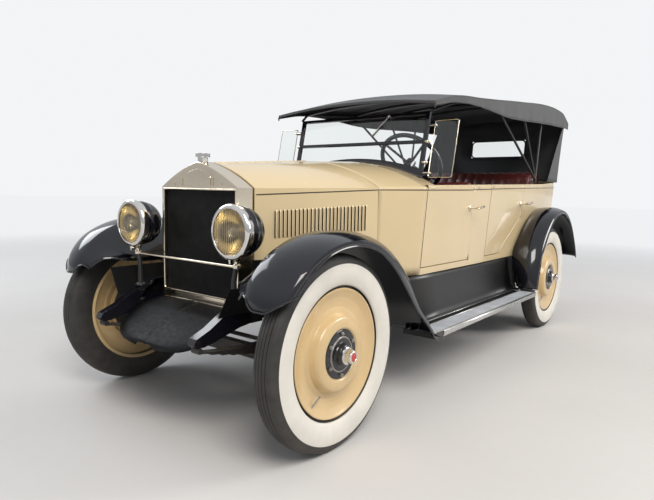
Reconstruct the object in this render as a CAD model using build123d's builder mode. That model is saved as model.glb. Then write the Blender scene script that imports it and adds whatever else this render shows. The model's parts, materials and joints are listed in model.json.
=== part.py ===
from build123d import *
import math
import os

# A 1920s five-seat touring car with a cloth top.
# Millimetres, +X to the car's left, -Y forward, +Z up, floor at z = 0.
# The tables below give Y from the middle of the wheelbase. Each piece is shifted once,
# as it is written, so that the origin lies under the middle of the whole car.

os.makedirs("parts", exist_ok=True)

# Driving dimensions
WHEELBASE = 2921.0
HALF_TRACK = 711.0
TYRE_R = 419.0
TYRE_HALF_W = 60.0
BEAD_R = 292.0
FRONT_REACH = WHEELBASE / 2 + 441.5
REAR_REACH = 2330.0
SHIFT_Y = (FRONT_REACH - REAR_REACH) / 2
AXLE_Z = TYRE_R
FRONT_Y = -WHEELBASE / 2
REAR_Y = WHEELBASE / 2
KINGPIN_X = 620.0
RUN = 0.05
TOUCH = 0.3
GAP = 5.0

# Frame
RAIL_X = 346.0
RAIL_W = 45.0
RAIL_T = 5.0
RAIL_TOP = 630.0
RAIL_BOTTOM = 500.0
SHELL_BOTTOM = 545.0

# Body
WALL = 36.0
SILL_Z = 630.0
FLOOR_T = 18.0
BELT_Z = 1120.0
BONNET_FRONT_Y = -1490.0
COWL_FRONT_Y = -800.0
DOOR_F0 = -499.5
DOOR_F1 = 116.5
DOOR_R0 = 375.0
DOOR_R1 = 1035.0
DOOR_BOTTOM = 672.0
BODY_TUCK = 34.0

# Plan of the body at the belt: half width, y
PLAN = [
    (637.0, -504.5),
    (652.0, 0.0),
    (658.0, 350.0),
    (657.0, 1000.0),
    (646.0, 1600.0),
    (618.0, 1960.0),
    (540.0, 2110.0),
    (380.0, 2148.0),
]
BODY_BACK = 2150.0

# Top edge of the body: y, z
TOP_EDGE = [(-900.0, 1138.0), (-490.0, 1138.0), (1580.0, 1194.0), (2100.0, 1227.0), (2400.0, 1227.0)]


def finish(piece, name):
    """Shift a finished piece to the shared origin, label it and write it."""
    moved = piece.part.moved(Location((0, SHIFT_Y, 0)))
    moved.label = name
    export_step(moved, f"parts/{name}.step")
    print(name, len(moved.solids()), round(moved.volume / 1e3), "cm3")


def both_sides(piece):
    """The piece and its mirror image as separate solids of one node."""
    with BuildPart() as pair:
        add(piece.part)
        mirror(piece.part, about=Plane.YZ)
    return pair


def other_side(piece):
    with BuildPart() as twin:
        mirror(piece.part, about=Plane.YZ)
    return twin


def draw(chain):
    for step in chain:
        if len(step) == 3:
            ThreePointArc(*step)
        else:
            Line(*step)


def outline(plane, chain):
    """A face on a plane, bounded by a closed chain of lines and arcs."""
    with BuildSketch(plane) as face:
        with BuildLine():
            draw(chain)
        make_face()
    return face.sketch


def polygon(plane, points):
    with BuildSketch(plane) as face:
        with BuildLine():
            Polyline(*points, close=True)
        make_face()
    return face.sketch


def band(plane, outer, inner):
    """A thin closed section between an outer and an inner chain of lines and arcs."""
    ends = [(outer[0][0], inner[0][0]), (outer[-1][-1], inner[-1][-1])]
    return outline(plane, list(outer) + list(inner) + ends)


def prism(plane, points, length, both=False, mode=Mode.ADD):
    extrude(polygon(plane, points), amount=length, both=both, mode=mode)


def rod(start, end, radius, mode=Mode.ADD):
    a = Vector(*start)
    b = Vector(*end)
    with BuildSketch(Plane(origin=a, z_dir=b - a)) as disc:
        Circle(radius)
    extrude(disc.sketch, amount=(b - a).length, mode=mode)


def block(x0, x1, y0, y1, z0, z1, mode=Mode.ADD):
    with Locations(((x0 + x1) / 2, (y0 + y1) / 2, (z0 + z1) / 2)):
        Box(x1 - x0, y1 - y0, z1 - z0, mode=mode)


def wheel_plane(x, y, z):
    """Sketch plane with local x along the axle, outward on the left side."""
    return Plane(origin=(x, y, z), x_dir=(1, 0, 0), z_dir=(0, -1, 0))


# Wheels and tyres: half section as distance along the axle, radius
TYRE_SECTION = [
    ((-44.0, BEAD_R + 4), (-TYRE_HALF_W - 1, 352.0), (-50.0, 398.0)),
    ((-50.0, 398.0), (-40.0, 412.0)),
    ((-40.0, 412.0), (0.0, TYRE_R), (40.0, 412.0)),
    ((40.0, 412.0), (50.0, 398.0)),
    ((50.0, 398.0), (TYRE_HALF_W + 1, 352.0), (44.0, BEAD_R + 4)),
    ((44.0, BEAD_R + 4), (-44.0, BEAD_R + 4)),
]
WHEEL_SECTION = [
    (-54.0, 286.0), (-54.0, 302.0), (-48.0, 302.0), (-44.0, BEAD_R + 4), (44.0, BEAD_R + 4),
    (48.0, 302.0), (54.0, 302.0), (54.0, 286.0), (40.0, 284.0), (36.0, 252.0), (20.0, 240.0),
    (50.0, 128.0), (74.0, 88.0), (74.0, 52.0), (88.0, 48.0), (104.0, 38.0), (110.0, 20.0),
    (110.0, 0.0), (84.0, 0.0), (84.0, 20.0 + RUN), (-28.0, 20.0 + RUN), (-28.0, 150.0),
    (-30.0, 172.0), (-4.0, 172.0), (-4.0, 140.0), (20.0, 128.0), (32.0, 112.0), (12.0, 236.0),
    (0.0, 268.0), (-20.0, 284.0),
]


def make_tyre(plane, axis):
    with BuildPart() as tyre:
        revolve(outline(plane, TYRE_SECTION), axis=axis)
    return tyre


def make_wheel(plane, axis):
    with BuildPart() as wheel:
        with BuildSketch(plane):
            with BuildLine():
                Polyline(*WHEEL_SECTION, close=True)
            make_face()
        revolve(axis=axis)
    return wheel


for end, y in (("front", FRONT_Y), ("rear", REAR_Y)):
    plane = wheel_plane(HALF_TRACK, y, AXLE_Z)
    axis = Axis((HALF_TRACK, y, AXLE_Z), (1, 0, 0))
    tyre = make_tyre(plane, axis)
    wheel = make_wheel(plane, axis)
    finish(tyre, f"tyre_{end}_left")
    finish(other_side(tyre), f"tyre_{end}_right")
    finish(wheel, f"wheel_{end}_left")
    finish(other_side(wheel), f"wheel_{end}_right")

# Spare wheel and its carrier on the tail
SPARE_Y = 2268.0
SPARE_Z = 800.0
spare_plane = Plane(origin=(0, SPARE_Y, SPARE_Z), x_dir=(0, 1, 0), z_dir=(1, 0, 0))
spare_axis = Axis((0, SPARE_Y, SPARE_Z), (0, 1, 0))
finish(make_tyre(spare_plane, spare_axis), "spare_tyre")
SPARE_WHEEL_SECTION = [
    (-54.0, 286.0), (-54.0, 302.0), (-48.0, 302.0), (-44.0, BEAD_R + 4), (44.0, BEAD_R + 4),
    (48.0, 302.0), (54.0, 302.0), (54.0, 286.0), (40.0, 284.0), (36.0, 252.0), (20.0, 240.0),
    (50.0, 128.0), (56.0, 88.0), (56.0, 0.0), (40.0, 0.0), (40.0, 80.0), (32.0, 112.0),
    (12.0, 236.0), (0.0, 268.0), (-20.0, 284.0),
]
with BuildPart() as spare_wheel:
    with BuildSketch(spare_plane):
        with BuildLine():
            Polyline(*SPARE_WHEEL_SECTION, close=True)
        make_face()
    revolve(axis=spare_axis)
finish(spare_wheel, "spare_wheel")
with BuildPart() as spare_carrier:
    rod((0, 2170, SPARE_Z), (0, SPARE_Y + 40, SPARE_Z), 80 - TOUCH)
    block(-110, 110, 2158, 2172, SPARE_Z - 110, SPARE_Z + 110)
    for side in (1, -1):
        rod((side * 90, 2172, SPARE_Z - 90), (side * 90, 2172, 592), 14)
        rod((side * 90, 2180, 594), (side * 90, 2075, 594), 14)
finish(spare_carrier, "spare_carrier")

# Front axle: forged beam, eyes for the kingpins and pads for the springs
EYE_R = 27.0
EYE_Z0 = 386.0
EYE_Z1 = 452.0
PIN_R = 13.0
with BuildPart() as front_axle:
    beam = [(-600, 392), (-600, 446), (-520, 430), (-400, 360), (400, 360), (520, 430), (600, 446),
            (600, 392), (520, 366), (420, 300), (-420, 300), (-520, 366)]
    prism(Plane.XZ.offset(-FRONT_Y), beam, 22, both=True)
    for side in (1, -1):
        with BuildSketch(Plane.XY.offset(EYE_Z0)):
            with Locations((side * KINGPIN_X, FRONT_Y)):
                Circle(EYE_R)
        extrude(amount=EYE_Z1 - EYE_Z0)
        block(side * RAIL_X - 30, side * RAIL_X + 30, FRONT_Y - 60, FRONT_Y + 60, 340, 360)
        with Locations((side * KINGPIN_X, FRONT_Y, AXLE_Z)):
            Cylinder(PIN_R + RUN, 200, mode=Mode.SUBTRACT)
finish(front_axle, "front_axle")

# Steering knuckle: kingpin, yoke, stub, brake plate and steering arm in one forging
ARM_BACK = 170.0
ARM_X = KINGPIN_X
ARM_Z0 = 330.0
with BuildPart() as knuckle:
    with Locations((KINGPIN_X, FRONT_Y, (340 + 480) / 2)):
        Cylinder(PIN_R, 140)
    for z0, z1 in ((EYE_Z1 + 2, 474.0), (364.0, EYE_Z0 - 2)):
        with BuildSketch(Plane.XY.offset(z0)):
            with Locations((KINGPIN_X, FRONT_Y)):
                Circle(24)
            with Locations((KINGPIN_X + 24, FRONT_Y)):
                Rectangle(48, 44)
        extrude(amount=z1 - z0)
    block(KINGPIN_X + 34, KINGPIN_X + 48, FRONT_Y - 26, FRONT_Y + 26, 364, 474)
    rod((KINGPIN_X + 40, FRONT_Y, AXLE_Z), (HALF_TRACK + 80, FRONT_Y, AXLE_Z), 20)
    rod((KINGPIN_X + 48, FRONT_Y, AXLE_Z), (KINGPIN_X + 54, FRONT_Y, AXLE_Z), 168)
    prism(Plane.XY.offset(ARM_Z0 + 14),
          [(KINGPIN_X - 16, FRONT_Y - 14), (KINGPIN_X + 16, FRONT_Y - 14), (KINGPIN_X + 14, FRONT_Y + 30),
           (ARM_X + 14, FRONT_Y + ARM_BACK), (ARM_X - 14, FRONT_Y + ARM_BACK),
           (KINGPIN_X - 18, FRONT_Y + 30)], 20)
    with Locations((KINGPIN_X, FRONT_Y, 355)):
        Cylinder(16, 22)
    with BuildSketch(Plane.XY.offset(ARM_Z0 + 14)):
        with Locations((ARM_X, FRONT_Y + ARM_BACK)):
            Circle(16)
    extrude(amount=20)
    with BuildSketch(Plane.XY.offset(ARM_Z0 - 18)):
        with Locations((ARM_X, FRONT_Y + ARM_BACK)):
            Circle(8)
    extrude(amount=34)
finish(knuckle, "knuckle_left")
finish(other_side(knuckle), "knuckle_right")

# Tie rod: hangs on the pins of both steering arms
with BuildPart() as tie_rod:
    tie_y = FRONT_Y + ARM_BACK
    tie_z = ARM_Z0 - 1
    rod((-ARM_X + 10, tie_y, tie_z), (ARM_X - 10, tie_y, tie_z), 11)
    for side in (1, -1):
        with Locations((side * ARM_X, tie_y, tie_z)):
            Cylinder(18, 26)
    for side in (1, -1):
        with Locations((side * ARM_X, tie_y, tie_z)):
            Cylinder(8 + RUN, 80, mode=Mode.SUBTRACT)
finish(tie_rod, "tie_rod")

# Rear axle: tubes, differential, torque tube and brake plates
with BuildPart() as rear_axle:
    rod((-650, REAR_Y, AXLE_Z), (650, REAR_Y, AXLE_Z), 38)
    with BuildSketch(wheel_plane(0, REAR_Y, AXLE_Z)):
        with BuildLine():
            Polyline((-150, 0), (-150, 45), (-90, 120), (-40, 145), (40, 145), (90, 120), (150, 45),
                (150, 0), close=True)
        make_face()
    revolve(axis=Axis((0, REAR_Y, AXLE_Z), (1, 0, 0)))
    rod((0, REAR_Y - 60, AXLE_Z + 8), (0, -256, 562), 38)
    block(-60, 60, -300, -260, 500, 640, mode=Mode.SUBTRACT)
    for side in (1, -1):
        rod((side * 650, REAR_Y, AXLE_Z), (side * (HALF_TRACK + 80), REAR_Y, AXLE_Z), 20)
        rod((side * 645, REAR_Y, AXLE_Z), (side * 674, REAR_Y, AXLE_Z), 145)
        block(side * 470 - 32, side * 470 + 32, REAR_Y - 50, REAR_Y + 50, AXLE_Z, AXLE_Z + 46)
finish(rear_axle, "rear_axle")


def leaf_spring(x, y, z_low, leaves, half_length, step, rise, width):
    """A pack of leaves that share one curve, longest on top."""
    t = 7.0
    with BuildPart() as pack:
        for i in range(leaves):
            half = half_length - step * (leaves - 1 - i)
            z = z_low + t * i
            up = rise * (half / half_length) ** 2
            side = Plane(origin=(x - width / 2, y, z), x_dir=(0, 1, 0), z_dir=(1, 0, 0))
            leaf = outline(side, [
                ((-half, up), (0.0, 0.0), (half, up)),
                ((half, up), (half, up + t)),
                ((half, up + t), (0.0, t), (-half, up + t)),
                ((-half, up + t), (-half, up)),
            ])
            extrude(leaf, amount=width)
        for end in (-half_length, half_length):
            rod((x - width / 2, y + end, z_low + t * leaves + rise + 4),
                (x + width / 2, y + end, z_low + t * leaves + rise + 4), 13)
    return pack


front_spring = leaf_spring(RAIL_X, FRONT_Y, 360, 6, 410, 58, 34, 44)
rear_spring = leaf_spring(470, REAR_Y, AXLE_Z + 46, 7, 500, 62, 46, 56)
with BuildPart() as springs:
    add(front_spring.part)
    mirror(front_spring.part, about=Plane.YZ)
    add(rear_spring.part)
    mirror(rear_spring.part, about=Plane.YZ)
finish(springs, "springs")

# Frame side profile: y, z, from the front horn to the rear horn and back underneath
RAIL_PROFILE = [
    (FRONT_Y - 441.5, 470), (FRONT_Y - 429.5, 492), (FRONT_Y - 359.5, 520), (FRONT_Y - 239.5, 590),
    (FRONT_Y - 139.5, RAIL_TOP), (REAR_Y - 380.5, RAIL_TOP), (REAR_Y - 240.5, 700), (REAR_Y + 239.5, 700),
    (REAR_Y + 399.5, 650), (REAR_Y + 629.5, 625), (REAR_Y + 629.5, 560), (REAR_Y + 389.5, 575),
    (REAR_Y + 239.5, 600), (REAR_Y - 230.5, 600), (REAR_Y - 400.5, 520), (REAR_Y - 560.5, RAIL_BOTTOM),
    (FRONT_Y + 380.5, RAIL_BOTTOM), (FRONT_Y - 39.5, 520), (FRONT_Y - 199.5, 500), (FRONT_Y - 339.5, 462),
    (FRONT_Y - 389.5, 453), (FRONT_Y - 424.5, 453),
]
POCKET = [
    (FRONT_Y - 239.5, 515), (FRONT_Y - 199.5, 580), (FRONT_Y - 129.5, RAIL_TOP - RAIL_T),
    (REAR_Y - 382.5, RAIL_TOP - RAIL_T), (REAR_Y - 242.5, 694), (REAR_Y + 239.5, 694),
    (REAR_Y + 384.5, 645),
    (REAR_Y + 599.5, 620), (REAR_Y + 599.5, 568), (REAR_Y + 389.5, 582), (REAR_Y + 239.5, 607),
    (REAR_Y - 230.5, 607), (REAR_Y - 400.5, 527), (REAR_Y - 560.5, RAIL_BOTTOM + RAIL_T),
    (FRONT_Y + 380.5, RAIL_BOTTOM + RAIL_T), (FRONT_Y - 39.5, 526), (FRONT_Y - 199.5, 508),
]
# Cross members: y, bottom, top, width
CROSS_MEMBERS = [
    (FRONT_Y - 89.5, 505, SHELL_BOTTOM, 70), (-400, 500, 520, 80), (300, 590, 630, 80),
    (REAR_Y - 330.5, 590, 630, 80), (REAR_Y + 494.5, 575, 612, 50), (REAR_Y + 599.5, 575, 612, 30),
]
with BuildPart() as rail:
    side_plane = Plane(origin=(RAIL_X - RAIL_W / 2, 0, 0), x_dir=(0, 1, 0), z_dir=(1, 0, 0))
    prism(side_plane, RAIL_PROFILE, RAIL_W)
    prism(side_plane, POCKET, RAIL_W - RAIL_T, mode=Mode.SUBTRACT)
with BuildPart() as frame:
    add(rail.part)
    mirror(rail.part, about=Plane.YZ)
    inner = RAIL_X + RAIL_W / 2 - RAIL_T
    for y, z0, z1, w in CROSS_MEMBERS:
        block(-inner, inner, y - w / 2, y + w / 2, z0, z1)
    outer = RAIL_X + RAIL_W / 2
    for side in (1, -1):
        for y in (-420, 250, 1000):
            x0, x1 = sorted((side * (outer - 2), side * 600))
            block(x0, x1, y - 25, y + 25, 596, RAIL_TOP)
        for y in (-560, 60, 680):
            x0, x1 = sorted((side * (outer - 2), side * 800))
            prism(Plane.XZ.offset(-y), [(side * (outer - 2), 560), (side * 560, 440), (side * 640, 345),
                                        (side * 800, 345), (side * 800, 333), (side * 632, 333),
                                        (side * 550, 425), (side * (outer - 2), 505)],
                  18, both=True)
        for y in (REAR_Y - 500, REAR_Y + 500):
            x0, x1 = sorted((side * (outer - 2), side * 500))
            block(x0, x1, y - 26, y + 26, 577, 604)
        x0, x1 = sorted((side * (RAIL_X - 22), side * (RAIL_X + 22)))
        block(x0, x1, FRONT_Y + 410 - 13, FRONT_Y + 410 + 13, 453, RAIL_BOTTOM + 2)
finish(frame, "chassis_frame")

# Engine and gearbox as plain blocks at their real place
with BuildPart() as engine:
    block(-150, 150, -1400, -800, 600, 1010)
    block(-170, 170, -1400, -790, 480, 600)
    block(-130, 130, -790, -260, 520, 615)
    for y, z in ((-1340, 520), (-860, 505)):
        block(-363.5, 363.5, y, y + 40, z, z + 27)
finish(engine, "engine_block")

# Exhaust on the right side: pipe from the engine over the axle to the tail, and its silencer
PIPE_R = 22.0
PIPE_ROUTE = [
    (-172.5, -960, 500), (-250, -960, 492), (-236, -700, 430), (-234, 1100, 424),
    (-240, 1330, 530), (-250, 1620, 528), (-252, 1800, 440), (-250, 2110, 428),
]
with BuildPart() as exhaust:
    with BuildLine() as route:
        FilletPolyline(*PIPE_ROUTE, radius=[36, 90, 90, 90, 90, 90])
    with BuildSketch(Plane(origin=route.line @ 0, z_dir=route.line % 0)) as pipe:
        Circle(PIPE_R)
    sweep(pipe.sketch, path=route.line)
    rod((-235, -60, 427), (-235, 660, 425.5), 72)
finish(exhaust, "exhaust")

# Fuel tank between the rear horns
with BuildPart() as tank:
    with BuildSketch(Plane.YZ.offset(-200)):
        with Locations((1950, 485)):
            RectangleRounded(230, 180, 70)
    extrude(amount=520)
finish(tank, "fuel_tank")

# Radiator: nickel shell with a gabled top, and its core
SHELL_HALF = 278.0
SHELL_FRONT = -1589.0
SHOULDER_Z = 1098.0
APEX_Z = 1217.0
with BuildPart() as radiator_shell:
    face = outline(Plane.XZ.offset(-SHELL_FRONT), [
        ((-SHELL_HALF, SHELL_BOTTOM), (-SHELL_HALF, SHOULDER_Z)),
        ((-SHELL_HALF, SHOULDER_Z), (-145.0, 1172.0), (0.0, APEX_Z)),
        ((0.0, APEX_Z), (145.0, 1172.0), (SHELL_HALF, SHOULDER_Z)),
        ((SHELL_HALF, SHOULDER_Z), (SHELL_HALF, SHELL_BOTTOM)),
        ((SHELL_HALF, SHELL_BOTTOM), (-SHELL_HALF, SHELL_BOTTOM)),
    ])
    extrude(face, amount=-(BONNET_FRONT_Y - 5 - SHELL_FRONT))
    with BuildSketch(Plane.XZ.offset(-SHELL_FRONT + 1)):
        with Locations((0, (600 + 1062) / 2)):
            RectangleRounded(2 * 236, 1062 - 600, 26)
    extrude(amount=-140, mode=Mode.SUBTRACT)
finish(radiator_shell, "radiator_shell")
with BuildPart() as radiator_core:
    with BuildSketch(Plane.XZ.offset(-SHELL_FRONT - 22)):
        with Locations((0, (600 + 1062) / 2)):
            RectangleRounded(2 * 236, 1062 - 600, 26)
    extrude(amount=-70)
finish(radiator_core, "radiator_core")
with BuildPart() as cap:
    rod((0, -1555, 1196), (0, -1555, 1238), 24)
    rod((0, -1555, 1238), (0, -1555, 1256), 34)
    add(radiator_shell.part, mode=Mode.SUBTRACT)
finish(cap, "radiator_cap")

# Bonnet halves: half width, crease height, ridge height, bulge of the top, bottom edge
BONNET_T = 6.0
RIDGE_GAP = 12.0
BONNET_ENDS = [
    (BONNET_FRONT_Y, 283.0, 1098.0, 1214.0, (148.0, 1172.0), 770.0),
    (COWL_FRONT_Y - GAP, 504.0, 1114.0, 1262.0, (268.0, 1222.0), 745.0),
]
with BuildPart() as bonnet:
    faces = []
    for y, half, crease, ridge, mid, low in BONNET_ENDS:
        t = BONNET_T
        faces.append(band(
            Plane.XZ.offset(-y),
            [((RIDGE_GAP, ridge), mid, (half, crease)), ((half, crease), (half, low))],
            [((RIDGE_GAP, ridge - t), (mid[0] - 2, mid[1] - t), (half - t, crease - 3)),
             ((half - t, crease - 3), (half - t, low))],
        ))
    loft(faces, ruled=True)

# Ridge hinge: one rod, with barrels that belong in turn to the left and the right lid
ROD_R = 5.0
BARREL_R = 9.0
RIDGE_A = Vector(0, BONNET_FRONT_Y - GAP, 1214 - 4)
RIDGE_B = Vector(0, COWL_FRONT_Y, 1262 - 4)
BARRELS = 10


def lid_barrels(first, sign):
    along = RIDGE_B - RIDGE_A
    span = (1.0 - 0.03) / BARRELS
    for i in range(first, BARRELS, 2):
        a = RIDGE_A + along * (0.015 + i * span + 0.002)
        b = RIDGE_A + along * (0.015 + (i + 1) * span - 0.002)
        rod(a, b, BARREL_R)
        x0, x1 = sorted((sign * 4, sign * 16))
        prism(Plane.YZ.offset(x0), [(a.Y, a.Z - 1), (b.Y, b.Z - 1), (b.Y, b.Z + 4), (a.Y, a.Z + 4)],
            x1 - x0)
    rod(RIDGE_A - along * 0.1, RIDGE_B + along * 0.1, ROD_R + RUN, mode=Mode.SUBTRACT)


with BuildPart() as left_lid:
    add(bonnet.part)
    lid_barrels(0, 1)
with BuildPart() as right_lid:
    mirror(bonnet.part, about=Plane.YZ)
    lid_barrels(1, -1)
finish(left_lid, "bonnet_left")
finish(right_lid, "bonnet_right")
with BuildPart() as ridge_hinge:
    rod(RIDGE_A, RIDGE_B, ROD_R)
finish(ridge_hinge, "bonnet_hinge")


def plan_points(inset, front_y, wall=0.0):
    """The body's plan moved inwards, from the front left round the back."""
    chain = [(PLAN[0][0], front_y)] + PLAN[1:] + [(0.0, BODY_BACK)]
    chain = chain + [(-x, y) for x, y in reversed(chain[:-1])]
    moved = []
    for i, (x, y) in enumerate(chain):
        x0, y0 = chain[max(i - 1, 0)]
        x1, y1 = chain[min(i + 1, len(chain) - 1)]
        a = Vector(x - x0, y - y0) if i > 0 else Vector(x1 - x, y1 - y)
        b = Vector(x1 - x, y1 - y) if i + 1 < len(chain) else Vector(x - x0, y - y0)
        a = a.normalized()
        b = b.normalized()
        n1 = Vector(-a.Y, a.X)
        n2 = Vector(-b.Y, b.X)
        m = (n1 + n2) * ((inset + wall) / (1 + n1.dot(n2)))
        moved.append((x + m.X, y + m.Y))
    return moved


def body_block(front_y, wall):
    """The body's outer form, or its inner form for a wall's thickness."""
    with BuildPart() as form:
        low = polygon(Plane.XY.offset(SILL_Z), plan_points(BODY_TUCK, front_y, wall))
        belt = polygon(Plane.XY.offset(BELT_Z), plan_points(0.0, front_y, wall))
        loft([low, belt], ruled=True)
        extrude(belt, amount=140)
    return form


FRONT_OPENING = [(-900, DOOR_BOTTOM - GAP), (DOOR_F1 + GAP, DOOR_BOTTOM - GAP), (DOOR_F1 + GAP, 1500),
    (-900, 1500)]
REAR_OPENING = [(DOOR_R0 - GAP, DOOR_BOTTOM - GAP), (651, DOOR_BOTTOM - GAP), (DOOR_R1 + GAP, 924),
    (DOOR_R1 + GAP, 1500), (DOOR_R0 - GAP, 1500)]
FRONT_DOOR = [(DOOR_F0, DOOR_BOTTOM), (DOOR_F1, DOOR_BOTTOM), (DOOR_F1, 1400), (DOOR_F0, 1400)]
REAR_DOOR = [(DOOR_R0, DOOR_BOTTOM), (648, DOOR_BOTTOM), (DOOR_R1, 928), (DOOR_R1, 1400), (DOOR_R0, 1400)]

outer_form = body_block(PLAN[0][1], 0.0)
inner_form = body_block(PLAN[0][1] - 100, WALL)
with BuildPart() as shell:
    add(outer_form.part)
    add(inner_form.part, mode=Mode.SUBTRACT)
    above = TOP_EDGE + [(2400, 1500), (-900, 1500)]
    prism(Plane.YZ, above, 900, both=True, mode=Mode.SUBTRACT)

HINGE_OUT = 9.0
HINGE_R = 6.0
HINGE_PIN = 3.0


def side_x(y, z):
    """Half width of the body's outer face at a height."""
    for (x0, y0), (x1, y1) in zip(PLAN, PLAN[1:]):
        if y0 - 20 <= y <= y1:
            x = x0 + (x1 - x0) * (y - y0) / (y1 - y0)
            return x - BODY_TUCK * max(0.0, (BELT_Z - z) / (BELT_Z - SILL_Z))
    return 0.0


HINGES = {
    "front": (side_x(-500, BELT_Z) + HINGE_OUT, (DOOR_F0 + PLAN[0][1]) / 2, (740.0, 930.0, 1070.0)),
    "rear": (side_x(372, BELT_Z) + HINGE_OUT, DOOR_R0 - GAP / 2, (740.0, 930.0, 1090.0)),
}


def hinge_half(end, on_door):
    """Barrels and leaves of one door's hinges, either the door's or the body's."""
    x, y, heights = HINGES[end]
    for z in heights:
        face = side_x(y, z)
        if on_door:
            spans = [(z - 14, z + 14)]
        else:
            spans = [(z + 15, z + 28), (z - 28, z - 15)]
        for z0, z1 in spans:
            with BuildSketch(Plane.XY.offset(z0)) as barrel:
                with Locations((x, y)):
                    Circle(HINGE_R)
            extrude(barrel.sketch, amount=z1 - z0)
            y0, y1 = (y, y + 26) if on_door else (y - 26, y)
            block(face - 12, x, y0 + (0 if not on_door else 2.5), y1 - (2.5 if not on_door else 0), z0, z1)
        if on_door:
            with Locations((x, y, z)):
                Cylinder(HINGE_PIN + RUN, 40, mode=Mode.SUBTRACT)
        else:
            with Locations((x, y, z)):
                Cylinder(HINGE_PIN, 56)


def handle(y, z):
    """Outside door handle: rose, shank and grip."""
    x = side_x(y, z)
    rod((x - 3, y, z), (x + 6, y, z), 18)
    rod((x, y, z), (x + 62, y, z), 7)
    rod((x + 62, y - 12, z - 2), (x + 62, y + 86, z + 10), 8)


def make_door(profile, end, y, z):
    with BuildPart() as door:
        add(shell.part)
        prism(Plane.YZ, profile, 900, mode=Mode.INTERSECT)
        hinge_half(end, True)
        handle(y, z)
    return door


# Steering column direction: from the wheel down and forward
WHEEL_CENTRE = Vector(290, -90, 1290)
RAKE = 38.0
DOWN = Vector(0, -math.cos(math.radians(RAKE)), -math.sin(math.radians(RAKE)))

# Cowl: sides, arched top over the dashboard, and the bulkhead
COWL_T = 8.0
with BuildPart() as cowl:
    faces = []
    for y, half, crease, top, mid, low, tuck in (
        (COWL_FRONT_Y, 505.0, 1114.0, 1262.0, (268.0, 1222.0), SILL_Z, 10.0),
        (PLAN[0][1], 637.0, 1125.0, 1276.0, (330.0, 1243.0), SILL_Z, BODY_TUCK),
    ):
        t = COWL_T
        faces.append(band(
            Plane.XZ.offset(-y),
            [((-half + tuck, low), (-half, crease)), ((-half, crease), (-mid[0], mid[1]), (0, top)),
             ((0, top), mid, (half, crease)), ((half, crease), (half - tuck, low))],
            [((-half + tuck + t, low), (-half + t, crease - 4)),
             ((-half + t, crease - 4), (-mid[0] + 2, mid[1] - t), (0, top - t)),
             ((0, top - t), (mid[0] - 2, mid[1] - t), (half - t, crease - 4)),
             ((half - t, crease - 4), (half - tuck - t, low))],
        ))
    loft(faces, ruled=True)
    faces = []
    for y, half, edge, top, mid in (
        (PLAN[0][1] - 3, 590.0, 1146.0, 1273.0, (318.0, 1242.0)),
        (-292.0, 560.0, 1147.0, 1277.0, (300.0, 1245.0)),
    ):
        t = COWL_T
        faces.append(band(
            Plane.XZ.offset(-y),
            [((-half, edge), (-mid[0], mid[1]), (0, top)), ((0, top), mid, (half, edge))],
            [((-half, edge - t), (-mid[0] + 2, mid[1] - t), (0, top - t)),
             ((0, top - t), (mid[0] - 2, mid[1] - t), (half, edge - t))],
        ))
    loft(faces, ruled=True)
    prism(Plane.XZ.offset(-COWL_FRONT_Y), [(-497, 1100), (-493, SILL_Z), (493, SILL_Z), (497, 1100),
        (300, 1190), (0, 1240), (-300, 1190)], -6)
    rod(WHEEL_CENTRE, WHEEL_CENTRE + DOWN * 1200, 19 + TOUCH, mode=Mode.SUBTRACT)
    for side in (1, -1):
        prism(Plane.XZ.offset(-PLAN[0][1]), [(side * 560, SILL_Z), (side * 600, SILL_Z),
            (side * 632, 1118), (side * 590, 1118)], 30)
    hinge_half("front", False)
    with BuildPart(mode=Mode.PRIVATE) as far_hinges:
        hinge_half("front", False)
    mirror(far_hinges.part, about=Plane.YZ)
finish(cowl, "cowl")

# Dashboard
with BuildPart() as dashboard:
    face = outline(Plane.XZ.offset(456), [
        ((-560.0, 1060.0), (560.0, 1060.0)),
        ((560.0, 1060.0), (582.0, 1146.0)),
        ((582.0, 1146.0), (313.0, 1241.0), (0.0, 1272.0)),
        ((0.0, 1272.0), (-313.0, 1241.0), (-582.0, 1146.0)),
        ((-582.0, 1146.0), (-560.0, 1060.0)),
    ])
    extrude(face, amount=12)
    add(cowl.part, mode=Mode.SUBTRACT)
    rod(WHEEL_CENTRE, WHEEL_CENTRE + DOWN * 1200, 19 + TOUCH, mode=Mode.SUBTRACT)
finish(dashboard, "dashboard")


door_front = make_door(FRONT_DOOR, "front", 50.0, 1006.0)
door_rear = make_door(REAR_DOOR, "rear", 985.0, 1030.0)
finish(door_front, "door_front_left")
finish(other_side(door_front), "door_front_right")
finish(door_rear, "door_rear_left")
finish(other_side(door_rear), "door_rear_right")

with BuildPart() as tub:
    add(shell.part)
    prism(Plane.YZ, FRONT_OPENING, 900, both=True, mode=Mode.SUBTRACT)
    prism(Plane.YZ, REAR_OPENING, 900, both=True, mode=Mode.SUBTRACT)
    hinge_half("rear", False)
    with BuildPart(mode=Mode.PRIVATE) as twin_hinges:
        hinge_half("rear", False)
    mirror(twin_hinges.part, about=Plane.YZ)
finish(tub, "body_tub")

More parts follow.
